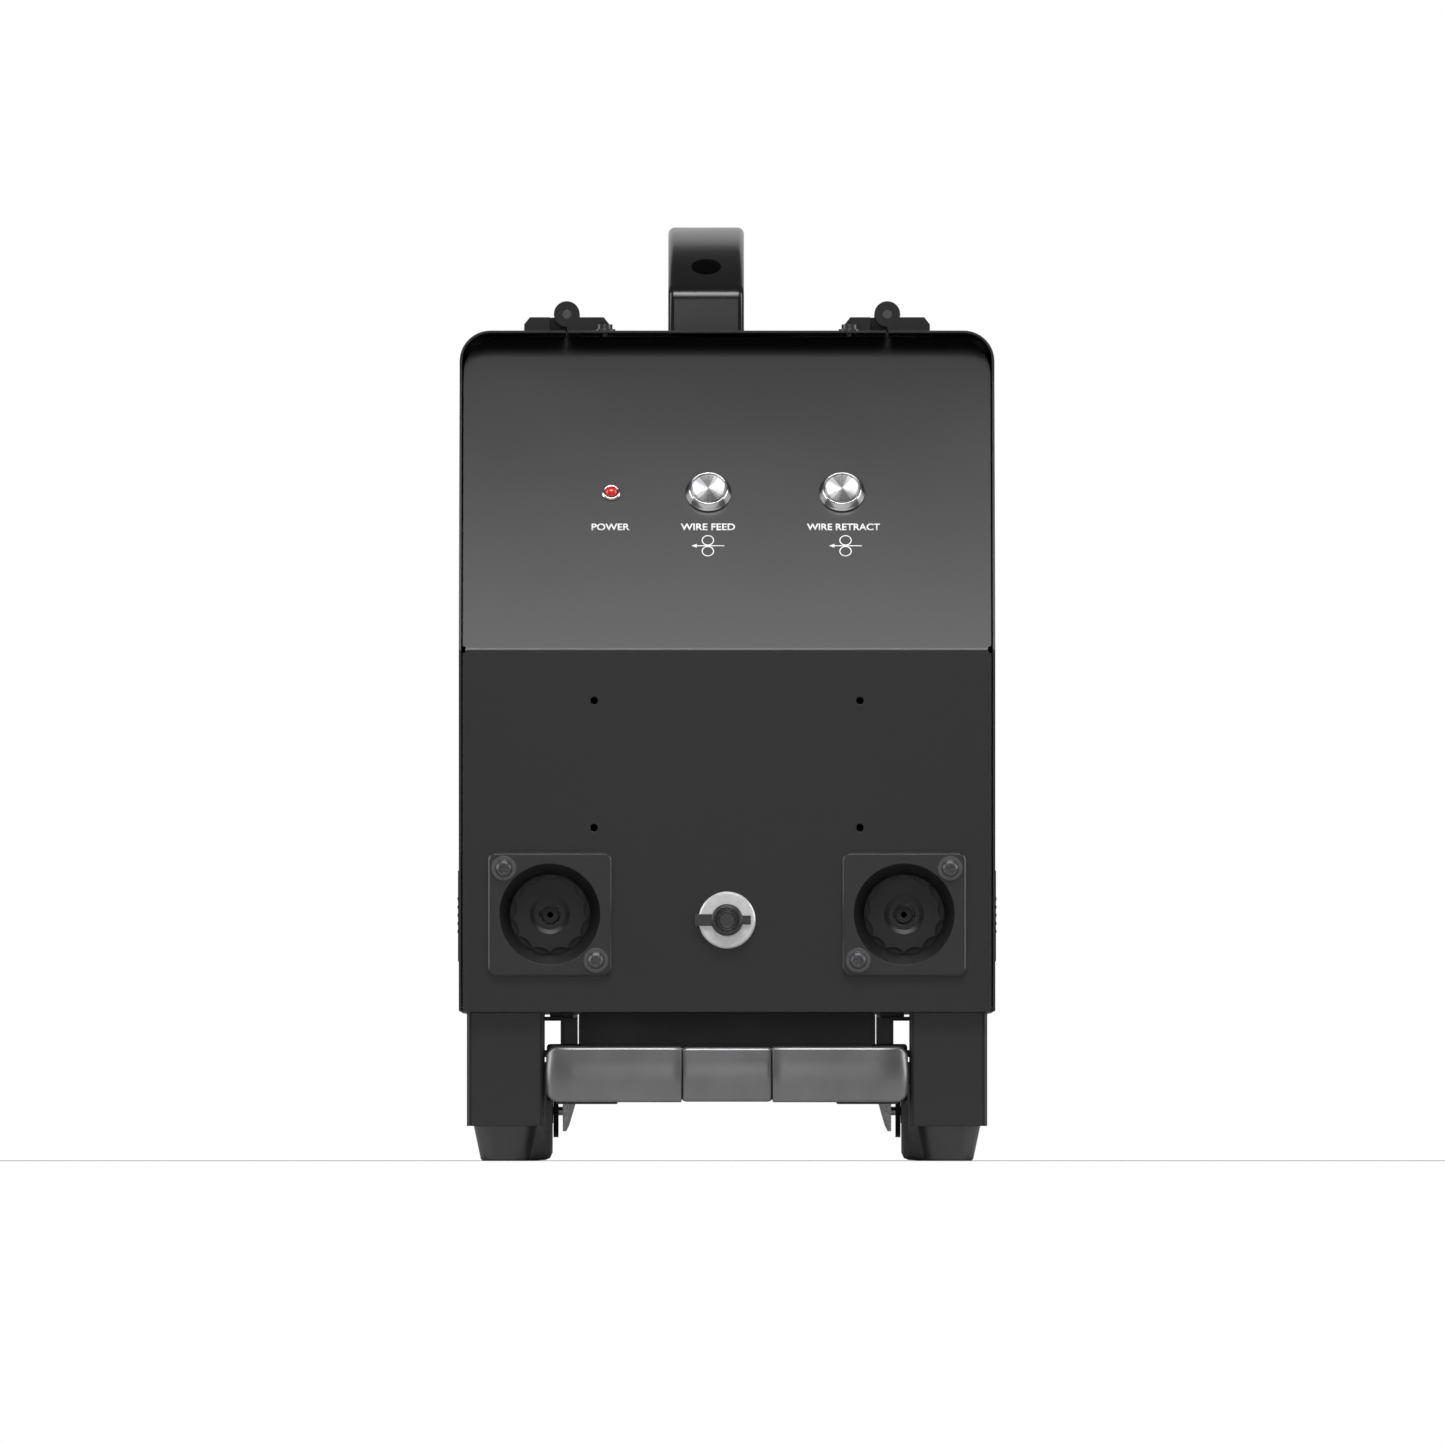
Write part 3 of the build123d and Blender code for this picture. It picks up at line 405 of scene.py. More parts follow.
def spunFinish():
    # spun face: rings of fine turning marks in the roughness, and a soft star of brighter and darker sectors painted
    # into the colour as a painted highlight and painted shade standing in for the sunburst reflection
    finish, tree, shader = blankFinish("spunSteel")
    place = tree.nodes.new("ShaderNodeTexCoord")
    split = tree.nodes.new("ShaderNodeSeparateXYZ")
    tree.links.new(place.outputs["Object"], split.inputs["Vector"])
    angle = tree.nodes.new("ShaderNodeMath")
    angle.operation = "ARCTAN2"
    tree.links.new(split.outputs["Y"], angle.inputs[0])
    tree.links.new(split.outputs["X"], angle.inputs[1])
    sectors = tree.nodes.new("ShaderNodeMath")
    sectors.operation = "MULTIPLY"
    sectors.inputs[1].default_value = spunLook["arms"]
    tree.links.new(angle.outputs["Value"], sectors.inputs[0])
    swing = tree.nodes.new("ShaderNodeMath")
    swing.operation = "SINE"
    shift = tree.nodes.new("ShaderNodeMath")
    shift.operation = "ADD"
    shift.inputs[1].default_value = spunLook["turn"]
    tree.links.new(sectors.outputs["Value"], shift.inputs[0])
    tree.links.new(shift.outputs["Value"], swing.inputs[0])
    fanPlace = tree.nodes.new("ShaderNodeCombineXYZ")
    tree.links.new(angle.outputs["Value"], fanPlace.inputs["X"])
    fan = noiseAt(tree, fanPlace.outputs["Vector"], 5.0, 5.0, 0.6)
    radius = tree.nodes.new("ShaderNodeVectorMath")
    radius.operation = "LENGTH"
    tree.links.new(place.outputs["Object"], radius.inputs[0])
    ringPlace = tree.nodes.new("ShaderNodeCombineXYZ")
    tree.links.new(radius.outputs["Value"], ringPlace.inputs["X"])
    rings = noiseAt(tree, ringPlace.outputs["Vector"], spunLook["ringScale"], 2.0)
    total = tree.nodes.new("ShaderNodeMath")
    total.operation = "MULTIPLY_ADD"
    total.inputs[1].default_value = spunLook["paintedGlintStrength"]
    tree.links.new(swing.outputs["Value"], total.inputs[0])
    tree.links.new(fan, total.inputs[2])
    # painted highlight and painted shade: the star sectors lighten and darken the base colour in place of the real
    # sunburst reflection
    paintedGlintStar = spread(tree, total.outputs["Value"], 0, 1, 0.2, 0.85)
    colour = blendColours(tree, paintedGlintStar, spunLook["dark"], spunLook["light"])
    tree.links.new(colour, shader.inputs["Base Color"])
    tree.links.new(spread(tree, rings, *spunLook["roughness"]), shader.inputs["Roughness"])
    shader.inputs["Metallic"].default_value = 1.0
    shader.inputs["Anisotropic"].default_value = spunLook["anisotropic"]
    lay = tree.nodes.new("ShaderNodeTangent")
    lay.direction_type = "RADIAL"
    lay.axis = "Z"
    tree.links.new(lay.outputs["Tangent"], shader.inputs["Tangent"])
    surfaceGrain(tree, shader, rings, 0.000008, 0.35, 0.0002)
    return finish


boardLook = {
    "mask": (0.012, 0.105, 0.045),
    "maskAlt": (0.014, 0.120, 0.050),
    "track": (0.030, 0.200, 0.090),
    "trackScale": 90,
    "trackWidth": 0.03,
}


def boardFinish():
    # green solder mask with lighter track lines
    finish, tree, shader = blankFinish("boardGreen")
    place = objectPlace(tree)
    tracks = tree.nodes.new("ShaderNodeTexBrick")
    tracks.inputs["Scale"].default_value = boardLook["trackScale"]
    tracks.inputs["Mortar Size"].default_value = boardLook["trackWidth"]
    tracks.inputs["Color1"].default_value = (*boardLook["mask"], 1)
    tracks.inputs["Color2"].default_value = (*boardLook["maskAlt"], 1)
    tracks.inputs["Mortar"].default_value = (*boardLook["track"], 1)
    turned = tree.nodes.new("ShaderNodeMapping")
    turned.inputs["Rotation"].default_value = (0, math.radians(90), 0)
    tree.links.new(place, turned.inputs["Vector"])
    tree.links.new(turned.outputs["Vector"], tracks.inputs["Vector"])
    tree.links.new(tracks.outputs["Color"], shader.inputs["Base Color"])
    tree.links.new(spread(tree, tracks.outputs["Fac"], 0.25, 0.4, 0, 1), shader.inputs["Roughness"])
    surfaceGrain(tree, shader, tracks.outputs["Fac"], 0.00003, 0.4, 0.0002)
    return finish


finishes = {
    "case_paint": grainFinish("powderBlack", powderLook),
    "satin_plastic": grainFinish("mouldedBlack", mouldedLook),
    "gloss_plastic": grainFinish("glossBlack", glossLook),
    "rubber": grainFinish("footRubber", rubberLook),
    "tyre": grainFinish("wheelTread", treadLook),
    "bright_steel": grainFinish("brightPlated", brightLook),
    "brushed_steel": spunFinish(),
    "dark_steel": grainFinish("blackOxide", darkSteelLook),
    "zinc": grainFinish("zincPlate", zincLook),
    "roll_steel": grainFinish("groundRoll", rollLook),
    "motor_steel": grainFinish("motorPaint", motorLook),
    "bare_aluminium": grainFinish("milledPlate", aluminiumLook),
    "copper_wire": grainFinish("copperedWire", copperLook),
    "spool_plastic": grainFinish("spoolMoulding", spoolLook),
    "red_lens": lensFinish(),
    "board_green": boardFinish(),
}
drawnTube = grainFinish("drawnTube", drawnTubeLook)
anodisedTube = grainFinish("anodisedTube", anodisedTubeLook)
gripSatin = grainFinish("gripSatin", gripLook)
paintedBoreShade = grainFinish("paintedBoreShade", paintedBoreShadeLook)
handleGloss = grainFinish("handleGloss", handleLook)
plugRing = grainFinish("plugRing", plugRingLook)
flangeSatin = grainFinish("flangeSatin", flangeLook)
ownFinish = {
    "outer_tubes": drawnTube,
    "inner_tubes": anodisedTube,
    "carry_handle": handleGloss,
    "control_sockets": plugRing,
    "outlet_flanges": flangeSatin,
}
printWhite = grainFinish("printWhite", printLook)

nodeSlots = {entry["node"]: entry["material_slot"] for entry in frame["record"]["subparts"]}


def coat(piece, finish):
    piece.data.materials.clear()
    piece.data.materials.append(finish)


for nodeName, node in frame["nodes"].items():
    finish = ownFinish.get(nodeName, finishes[nodeSlots[nodeName]])
    for slotHolder in node.material_slots:
        slotHolder.material = finish
print("finishes on the frame:", len(finishes) + len(ownFinish))


# helpers for the small parts

def nodeBox(name):
    low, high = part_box(name)
    return Vector(low), Vector(high)


def addPiece(name, mesh, finish, body, place=None, smooth=True):
    piece = bpy.data.objects.new(name, mesh)
    bpy.context.collection.objects.link(piece)
    if place is not None:
        piece.matrix_world = place
    coat(piece, finish)
    if smooth:
        mesh.shade_smooth()
    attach(piece, body)
    return piece


def finishMesh(build, name):
    bmesh.ops.recalc_face_normals(build, faces=build.faces)
    mesh = bpy.data.meshes.new(name)
    build.to_mesh(mesh)
    build.free()
    return mesh


def turnedMesh(name, profile, steps=96):
    # profile is a list of (radius, height) about local Z; ends on the axis close the piece
    build = bmesh.new()
    rings = []
    for radius, height in profile:
        if radius < 1e-7:
            rings.append([build.verts.new((0, 0, height))])
        else:
            ring = []
            for step in range(steps):
                angle = tau * step / steps
                ring.append(build.verts.new((radius * math.cos(angle), radius * math.sin(angle), height)))
            rings.append(ring)
    pairs = list(zip(rings, rings[1:]))
    closed = len(rings[0]) > 1 and len(rings[-1]) > 1
    if closed:
        pairs.append((rings[-1], rings[0]))
    for lower, upper in pairs:
        for step in range(steps):
            after = (step + 1) % steps
            if len(lower) == 1 and len(upper) == 1:
                continue
            if len(lower) == 1:
                build.faces.new((lower[0], upper[after], upper[step]))
            elif len(upper) == 1:
                build.faces.new((lower[step], lower[after], upper[0]))
            else:
                build.faces.new((lower[step], lower[after], upper[after], upper[step]))
    return finishMesh(build, name)


def roundedProfile(points, radius, steps=4):
    # rounds every inner corner of an open (radius, height) profile with a short arc
    rounded = [points[0]]
    for before, corner, after in zip(points, points[1:], points[2:]):
        here = Vector(corner)
        toBefore = Vector(before) - here
        toAfter = Vector(after) - here
        cut = min(radius, toBefore.length * 0.45, toAfter.length * 0.45)
        start = here + toBefore.normalized() * cut
        end = here + toAfter.normalized() * cut
        for step in range(steps + 1):
            t = step / steps
            spot = start.lerp(here, t).lerp(here.lerp(end, t), t)
            rounded.append((spot.x, spot.y))
    rounded.append(points[-1])
    return rounded


def thickenFlat(build, height):
    # gives flat shapes a little thickness along local Z
    raised = bmesh.ops.extrude_face_region(build, geom=build.faces[:])
    for item in raised["geom"]:
        if isinstance(item, bmesh.types.BMVert):
            item.co.z += height


def loftRings(build, rings):
    for first, second in zip(rings, rings[1:]):
        for step in range(len(first)):
            after = (step + 1) % len(first)
            build.faces.new((first[step], first[after], second[after], second[step]))
    build.faces.new(rings[0])
    build.faces.new(rings[-1])


def roundedBlock(name, low, high, radius, finish, body, steps=3):
    # moulded or machined block with soft edges
    build = bmesh.new()
    bmesh.ops.create_cube(build, size=1.0)
    for vertex in build.verts:
        for axis in range(3):
            vertex.co[axis] = low[axis] if vertex.co[axis] < 0 else high[axis]
    bmesh.ops.bevel(build, geom=build.edges[:], offset=radius, segments=steps, profile=0.5, affect="EDGES")
    return addPiece(name, finishMesh(build, name), finish, body)


def applied(piece):
    # bakes a piece's modifiers into a plain mesh
    bpy.context.view_layer.update()
    baked = bpy.data.meshes.new_from_object(piece.evaluated_get(bpy.context.evaluated_depsgraph_get()))
    name = piece.name
    bpy.data.objects.remove(piece)
    baked.name = name
    return baked


def sharpenOver(mesh, degrees):
    build = bmesh.new()
    build.from_mesh(mesh)
    for face in build.faces:
        face.smooth = True
    for edge in build.edges:
        if len(edge.link_faces) == 2:
            edge.smooth = edge.calc_face_angle(0) < math.radians(degrees)
    build.to_mesh(mesh)
    build.free()


def axisPlace(origin, axis, up=(0, 0, 1)):
    # local Z along axis, local X as level as it can be
    forward = Vector(axis).normalized()
    side = Vector(up).cross(forward)
    if side.length < 1e-6:
        side = Vector((1, 0, 0))
    side.normalize()
    rise = forward.cross(side)
    turn = Matrix((side, rise, forward)).transposed().to_4x4()
    return Matrix.Translation(origin) @ turn


# console

lean = math.radians(34.0)
consoleNormal = Vector((0, -math.cos(lean), math.sin(lean)))
consoleUp = Vector((0, math.sin(lean), math.cos(lean)))
caseFront = nodeBox("front_panel")[0].y
bendHeight = 0.2476


def consoleSpot(x, z, proud=0.0):
    rise = (z - bendHeight) / math.cos(lean)
    return Vector((x, caseFront, bendHeight)) + consoleUp * rise + consoleNormal * proud


def consolePlace(x, z, proud=0.0):
    # local X right, local Y up the slope, local Z out of the panel
    turn = Matrix((Vector((1, 0, 0)), consoleUp, consoleNormal)).transposed().to_4x4()
    return Matrix.Translation(consoleSpot(x, z, proud)) @ turn


pushButtons = {
    "capRadius": 8.4 * mm,
    "capProud": 4.6 * mm,
    "rimWidth": 0.55 * mm,
    "controlHeight": 0.324,
    "feedX": -0.009,
    "retractX": 0.0558,
    "lampX": -0.0562,
    "lensRadius": 2.95 * mm,
    "lensBase": 0.9 * mm,
    "lensRise": 2.6 * mm,
}


def buttonCap(name, x, body):
    look = pushButtons
    outer = look["capRadius"]
    top = look["capProud"]
    rim = look["rimWidth"]
    profile = roundedProfile(
        [
            (0, -8 * mm),
            (outer, -8 * mm),
            (outer, top + 0.05 * mm),
            (outer - 0.25 * mm, top + 0.3 * mm),
            (outer - rim, top + 0.05 * mm),
            (outer - rim - 0.2 * mm, top - 0.12 * mm),
            (0, top),
        ],
        0.12 * mm,
    )
    place = consolePlace(x, look["controlHeight"])
    mesh = turnedMesh(name + "Cap", profile, 128)
    cap = addPiece(name + "Cap", mesh, finishes["brushed_steel"], body, place)
    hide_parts(body)
    return cap


def controlBezels():
    # turned bezels with a polished, sloped flank; one ring nut behind the panel each
    look = pushButtons
    profile = roundedProfile(
        [
            (8.55 * mm, -12 * mm),
            (9.4 * mm, -12 * mm),
            (9.4 * mm, 0.02 * mm),
            (11.2 * mm, 0.02 * mm),
            (11.25 * mm, 0.9 * mm),
            (10.9 * mm, 1.5 * mm),
            (9.5 * mm, 4.2 * mm),
            (9.0 * mm, 4.55 * mm),
            (8.6 * mm, 4.3 * mm),
        ],
        0.35 * mm,
        5,
    )
    for name, x in (("feed", look["feedX"]), ("retract", look["retractX"])):
        place = consolePlace(x, look["controlHeight"])
        mesh = turnedMesh(name + "Bezel", profile, 128)
        bezel = addPiece(name + "Bezel", mesh, finishes["bright_steel"], "case", place)
        barrel = roundedProfile(
            [(0, -24 * mm), (9.4 * mm, -24 * mm), (9.4 * mm, -12.1 * mm), (0, -12.1 * mm)], 0.5 * mm
        )
        mesh = turnedMesh(name + "Barrel", barrel)
        addPiece(name + "Barrel", mesh, finishes["satin_plastic"], "case", place)
        nut = roundedProfile(
            [(9.5 * mm, -7.5 * mm), (12.8 * mm, -7.5 * mm), (12.8 * mm, -2.2 * mm), (9.5 * mm, -2.2 * mm)], 0.5 * mm
        )
        mesh = turnedMesh(name + "RingNut", nut, 6)
        addPiece(name + "RingNut", mesh, finishes["zinc"], "case", place, smooth=False)
        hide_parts("control_bezels")
    lampProfile = roundedProfile(
        [
            (3.12 * mm, -8 * mm),
            (3.9 * mm, -8 * mm),
            (3.9 * mm, 0.02 * mm),
            (4.55 * mm, 0.02 * mm),
            (4.58 * mm, 0.7 * mm),
            (3.9 * mm, 1.45 * mm),
            (3.3 * mm, 1.4 * mm),
            (3.12 * mm, 0.9 * mm),
        ],
        0.25 * mm,
        5,
    )
    place = consolePlace(look["lampX"], look["controlHeight"])
    mesh = turnedMesh("lampBezel", lampProfile)
    ring = addPiece("lampBezel", mesh, finishes["bright_steel"], "case", place)
    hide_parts("control_bezels")
    radius = look["lensRadius"]
    base = look["lensBase"]
    rise = look["lensRise"]
    dome = [(0, -6 * mm), (radius, -6 * mm), (radius, base)]
    for step in range(1, 9):
        angle = math.radians(90 * step / 8)
        dome.append((radius * math.cos(angle), base + rise * math.sin(angle)))
    dome[-1] = (0, base + rise)
    lens = addPiece("lampLens", turnedMesh("lampLens", dome, 64), finishes["red_lens"], "case", place)
    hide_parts("lamp_lens")


consolePrint = {
    "weight": 0.022,
    "capHeight": 4.0 * mm,
    "wordHeight": 0.3075,
    "signHeight": 0.2983,
    "lift": 0.01 * mm,
    "thickness": 0.06 * mm,
    "words": {  # words, place across, width
        "powerWord": ("POWER", -0.0565, 18.5 * mm),
        "feedWords": ("WIRE FEED", -0.0093, 26.3 * mm),
        "retractWords": ("WIRE RETRACT", 0.0565, 35.5 * mm),
    },
    "signs": {"feedIcon": -0.0093, "retractIcon": 0.0575},
}


def printedWords(name, words, x, width):
    # plain function words, scaled to the width that the panel has for them
    look = consolePrint
    curve = bpy.data.curves.new(name, "FONT")
    curve.body = words
    curve.align_x = "CENTER"
    curve.align_y = "CENTER"
    curve.size = 1.0
    curve.offset = look["weight"]
    probe = bpy.data.objects.new(name + "Probe", curve)
    bpy.context.collection.objects.link(probe)
    bpy.context.view_layer.update()
    mesh = bpy.data.meshes.new_from_object(probe.evaluated_get(bpy.context.evaluated_depsgraph_get()))
    bpy.data.objects.remove(probe)
    xs = [v.co.x for v in mesh.vertices]
    ys = [v.co.y for v in mesh.vertices]
    scaleX = width / (max(xs) - min(xs))
    scaleY = look["capHeight"] / (max(ys) - min(ys))
    midX = (max(xs) + min(xs)) / 2
    midY = (max(ys) + min(ys)) / 2
    for vertex in mesh.vertices:
        vertex.co.x = (vertex.co.x - midX) * scaleX
        vertex.co.y = (vertex.co.y - midY) * scaleY
        vertex.co.z = 0
    thicken = bmesh.new()
    thicken.from_mesh(mesh)
    bmesh.ops.remove_doubles(thicken, verts=thicken.verts, dist=1e-7)
    thickenFlat(thicken, look["thickness"])
    bmesh.ops.recalc_face_normals(thicken, faces=thicken.faces)
    thicken.to_mesh(mesh)
    thicken.free()
    place = consolePlace(x, look["wordHeight"], look["lift"])
    return addPiece(name, mesh, printWhite, "case", place, smooth=False)


def ringStrip(build, centre, radiusX, radiusY, width, steps=48):
    inner, outer = [], []
    for step in range(steps):
        angle = tau * step / steps
        c, s = math.cos(angle), math.sin(angle)
        inner.append(build.verts.new((centre[0] + (radiusX - width) * c, centre[1] + (radiusY - width) * s, 0)))
        outer.append(build.verts.new((centre[0] + radiusX * c, centre[1] + radiusY * s, 0)))
    for step in range(steps):
        after = (step + 1) % steps
        build.faces.new((inner[step], outer[step], outer[after], inner[after]))


rollIcon = {"ringRadius": 3.0 * mm, "line": 0.5 * mm, "reach": 8.0 * mm, "head": 2.6 * mm}


def rollPairIcon(name, x):
    # two rolls with the wire between them and an arrowhead on its left end
    look = rollIcon
    build = bmesh.new()
    radius = look["ringRadius"]
    for side in (-1, 1):
        ringStrip(build, (0, side * (radius + look["line"] * 0.4)), radius, radius, look["line"])
    half = look["line"] / 2
    reach = look["reach"]
    head = look["head"]
    line = [(-reach + head * 0.6, -half), (reach, -half), (reach, half), (-reach + head * 0.6, half)]
    build.faces.new([build.verts.new((px, py, 0)) for px, py in line])
    arrow = [(-reach, 0), (-reach + head, -head * 0.42), (-reach + head, head * 0.42)]
    build.faces.new([build.verts.new((px, py, 0.005 * mm)) for px, py in arrow])
    thickenFlat(build, consolePrint["thickness"])
    place = consolePlace(x, consolePrint["signHeight"], consolePrint["lift"])
    return addPiece(name, finishMesh(build, name), printWhite, "case", place, smooth=False)


buttonCap("feed", pushButtons["feedX"], "wire_feed_button")
buttonCap("retract", pushButtons["retractX"], "wire_retract_button")
controlBezels()
for name, (words, x, width) in consolePrint["words"].items():
    printedWords(name, words, x, width)
for name, x in consolePrint["signs"].items():
    rollPairIcon(name, x)
print("console done")


# carrying handle
carryGrip = {
    "middle": (-10.2 * mm, 30.0 * mm),
    "halfWidth": 18.5 * mm,
    "halfLength": 100.0 * mm,
    "footInner": 58.0 * mm,
    "seat": 403.6 * mm,
    "shoulder": 424.4 * mm,
    "top": 456.8 * mm,
    "depth": 21.0 * mm,
    "edgeRound": 3.2 * mm,
    "shoulderRound": 4.5 * mm,
    "screwReach": 80.7 * mm,
    "screwBore": 7.25 * mm,
    "boreFloor": 415.0 * mm,
    "boreTop": 0.48,
    "creaseAngle": 32,
    "screwHead": ((0, 0), (5.6, 0), (5.6, 1.6), (4.4, 3.2), (2.2, 3.5), (2.0, 1.4), (0, 1.4)),  # radius, height in mm
}


def carryHandle():
    # side outline of the arch, pushed across the width, with soft edges and two screw bores
    look = carryGrip
    rise = look["top"] - look["shoulder"]
    radius = (look["halfLength"] ** 2 + rise**2) / (2 * rise)
    centre = look["top"] - radius
    outline = [(-look["halfLength"], look["seat"])]
    turn = math.asin(look["halfLength"] / radius)
    bend = look["shoulderRound"]
    slope = Vector((math.cos(turn), math.sin(turn)))
    corner = Vector((-look["halfLength"], look["shoulder"]))
    for step in range(7):
        t = step / 6
        spot = (corner - Vector((0, bend))).lerp(corner, t).lerp(corner.lerp(corner + slope * bend, t), t)
        outline.append((spot.x, spot.y))
    arcStart = turn - bend / radius * 1.3
    for step in range(25):
        angle = -arcStart + 2 * arcStart * step / 24
        outline.append((radius * math.sin(angle), centre + radius * math.cos(angle)))
    outline += [(-y, z) for y, z in reversed(outline[1:8])]
    outline.append((look["halfLength"], look["seat"]))
    outline.append((look["footInner"], look["seat"]))
    inner = radius - look["depth"]
    under = math.asin(look["footInner"] / inner)
    for step in range(17):
        angle = under - 2 * under * step / 16
        outline.append((inner * math.sin(angle), centre + inner * math.cos(angle)))
    outline.append((-look["footInner"], look["seat"]))
    middleX, middleY = look["middle"]
    build = bmesh.new()
    near = [build.verts.new((middleX - look["halfWidth"], middleY + y, z)) for y, z in outline]
    far = [build.verts.new((middleX + look["halfWidth"], middleY + y, z)) for y, z in outline]
    sides = [build.faces.new(near), build.faces.new(far)]
    for step in range(len(outline)):
        after = (step + 1) % len(outline)
        build.faces.new((near[step], near[after], far[after], far[step]))
    bmesh.ops.recalc_face_normals(build, faces=build.faces)
    rims = []
    for side in sides:
        for edge in side.edges:
            ends = [v.co.z for v in edge.verts]
            offSeat = min(ends) > look["seat"] + 0.1 * mm
            if offSeat or max(ends) - min(ends) > mm:
                rims.append(edge)
    bmesh.ops.bevel(build, geom=rims, offset=look["edgeRound"], segments=5, profile=0.5, affect="EDGES")
    arch = bpy.data.objects.new("carryArch", finishMesh(build, "carryArch"))
    bpy.context.collection.objects.link(arch)
    cutters = []
    for side in (-1, 1):
        floorAt, radiusAt, topAt = look["boreFloor"], look["screwBore"], look["boreTop"]
        bore = [(0, floorAt), (radiusAt, floorAt), (radiusAt, topAt), (0, topAt)]
        cutter = bpy.data.objects.new("boreCutter", turnedMesh("boreCutter", bore, 48))
        cutter.location = (middleX, middleY + side * look["screwReach"], 0)
        bpy.context.collection.objects.link(cutter)
        cut = arch.modifiers.new("bore", "BOOLEAN")
        cut.operation = "DIFFERENCE"
        cut.solver = "EXACT"
        cut.object = cutter
        cutters.append(cutter)
    baked = applied(arch)
    for cutter in cutters:
        bpy.data.objects.remove(cutter)
    sharpenOver(baked, look["creaseAngle"])
    handle = addPiece("carryArch", baked, handleGloss, "case", smooth=False)
    # the bore walls take the near-black painted shade finish
    baked.materials.append(paintedBoreShade)
    for face in baked.polygons:
        across = face.center.x - middleX
        along = abs(face.center.y - middleY)
        away = math.hypot(across, along - look["screwReach"])
        if away < look["screwBore"] + 0.05 * mm and abs(face.normal.z) < 0.2 and face.center.z > look["boreFloor"]:
            face.material_index = 1
    evenNormals = handle.modifiers.new("evenNormals", "WEIGHTED_NORMAL")
    evenNormals.keep_sharp = True
    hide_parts("carry_handle")
    for side in (-1, 1):
        head = roundedProfile([(radius * mm, height * mm) for radius, height in look["screwHead"]], 0.5 * mm)
        place = Matrix.Translation((middleX, middleY + side * look["screwReach"], look["boreFloor"]))
        name = f"handleScrew{(side + 3) // 2}"
        addPiece(name, turnedMesh("handleScrew", head, 48), finishes["dark_steel"], "case", place)


# pull handle
pullGrip = {
    "halfWidth": 87.7 * mm,
    "low": 28.3 * mm,
    "high": 55.3 * mm,
    "front": -262.0 * mm,
    "rear": -236.0 * mm,
    "corner": 5.5 * mm,
    "endRun": 15 * mm,
    "endDepth": 9 * mm,
    "crown": 1.4 * mm,
    "planCrown": 3.4 * mm,
    "buttonHalf": 21.5 * mm,
    "gap": 0.55 * mm,
    "edgeRound": 2.2 * mm,
    "buttonDepth": 11 * mm,
    "buttonEdge": 2.4 * mm,
    "buttonInset": 0.9 * mm,
    "buttonSlack": 0.25 * mm,
}


def gripSection(x, shrink=0.0):
    # half height and front face of the grip at this place across it
    look = pullGrip
    across = abs(x)
    halfHeight = (look["high"] - look["low"]) / 2 - shrink
    overCorner = across - (look["halfWidth"] - look["corner"])
    if overCorner > 0:
        halfHeight -= look["corner"] - math.sqrt(max(look["corner"] ** 2 - overCorner**2, 0))
    face = look["front"] + look["planCrown"] * (across / look["halfWidth"]) ** 2
    overEnd = across - (look["halfWidth"] - look["endRun"])
    if overEnd > 0:
        turn = 1 - math.sqrt(max(1 - (overEnd / look["endRun"]) ** 2, 0))
        face += (look["endDepth"] - look["planCrown"]) * turn
    return halfHeight, face


def gripRing(build, x, rear, inset=0.0, shrink=0.0):
    # one closed ring of the loft: up the crowned front, then round the back
    look = pullGrip
    halfHeight, face = gripSection(x, shrink)
    halfHeight -= inset
    face += inset
    middle = (look["low"] + look["high"]) / 2
    edge = look["edgeRound"]
    ring = [(rear - inset, -halfHeight)]
    flat = halfHeight - edge
    crownAt = face + look["crown"]
    for step in range(1, 6):
        angle = math.radians(90 * step / 6)
        ring.append((crownAt + edge * (1 - math.sin(angle)), -flat - edge * math.cos(angle)))
    for step in range(17):
        t = -1 + step / 8
        ring.append((face + look["crown"] * t * t, flat * t))
    for step in range(1, 6):
        angle = math.radians(90 * step / 6)
        ring.append((crownAt + edge * (1 - math.cos(angle)), flat + edge * math.sin(angle)))
    ring.append((rear - inset, halfHeight))
    return [build.verts.new((x, y, middle + z)) for y, z in ring]


def pullGripPieces():
    look = pullGrip
    inner = look["buttonHalf"] + look["gap"]
    for side, word in ((-1, "left"), (1, "right")):
        build = bmesh.new()
        stations = [inner, inner + 0.15 * mm, inner + 0.45 * mm]
        insets = [0.5 * mm, 0.2 * mm, 0.0]
        reach = look["halfWidth"] - look["endRun"]
        for step in range(1, 9):
            stations.append(inner + (reach - inner) * step / 8)
            insets.append(0.0)
        for step in range(1, 25):
            angle = math.radians(90 * step / 24)
            stations.append(reach + look["endRun"] * math.sin(angle) * 0.9995)
            insets.append(0.0)
        rings = [gripRing(build, side * x, look["rear"], inset) for x, inset in zip(stations, insets)]
        loftRings(build, rings)
        name = f"{word}Grip"
        grip = addPiece(name, finishMesh(build, name), gripSatin, "pull_handle")
        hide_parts("pull_handle")
        ends = sorted((side * 70.0 * mm, side * 87.4 * mm))
        roundedBlock(
            f"{word}GripArm",
            (ends[0], look["rear"] - 6 * mm, look["low"] + 0.4 * mm),
            (ends[1], look["rear"] + 9 * mm, look["high"] + 1.3 * mm),
            1.6 * mm, finishes["satin_plastic"], "pull_handle",
        )
        ends = sorted((side * 53.0 * mm, side * 83.0 * mm))
        roundedBlock(
            f"{word}GripLip",
            (ends[0], look["front"] + 9 * mm, look["low"] - 0.9 * mm),
            (ends[1], look["rear"] - 1 * mm, look["low"] + 2 * mm),
            0.8 * mm, finishes["satin_plastic"], "pull_handle",
        )
    roundedBlock(
        "gripSpine",
        (-inner - 2 * mm, look["rear"] - 6.8 * mm, look["low"] + 1.2 * mm),
        (inner + 2 * mm, look["rear"], look["high"] - 1.2 * mm),
        1.5 * mm, finishes["satin_plastic"], "pull_handle",
    )


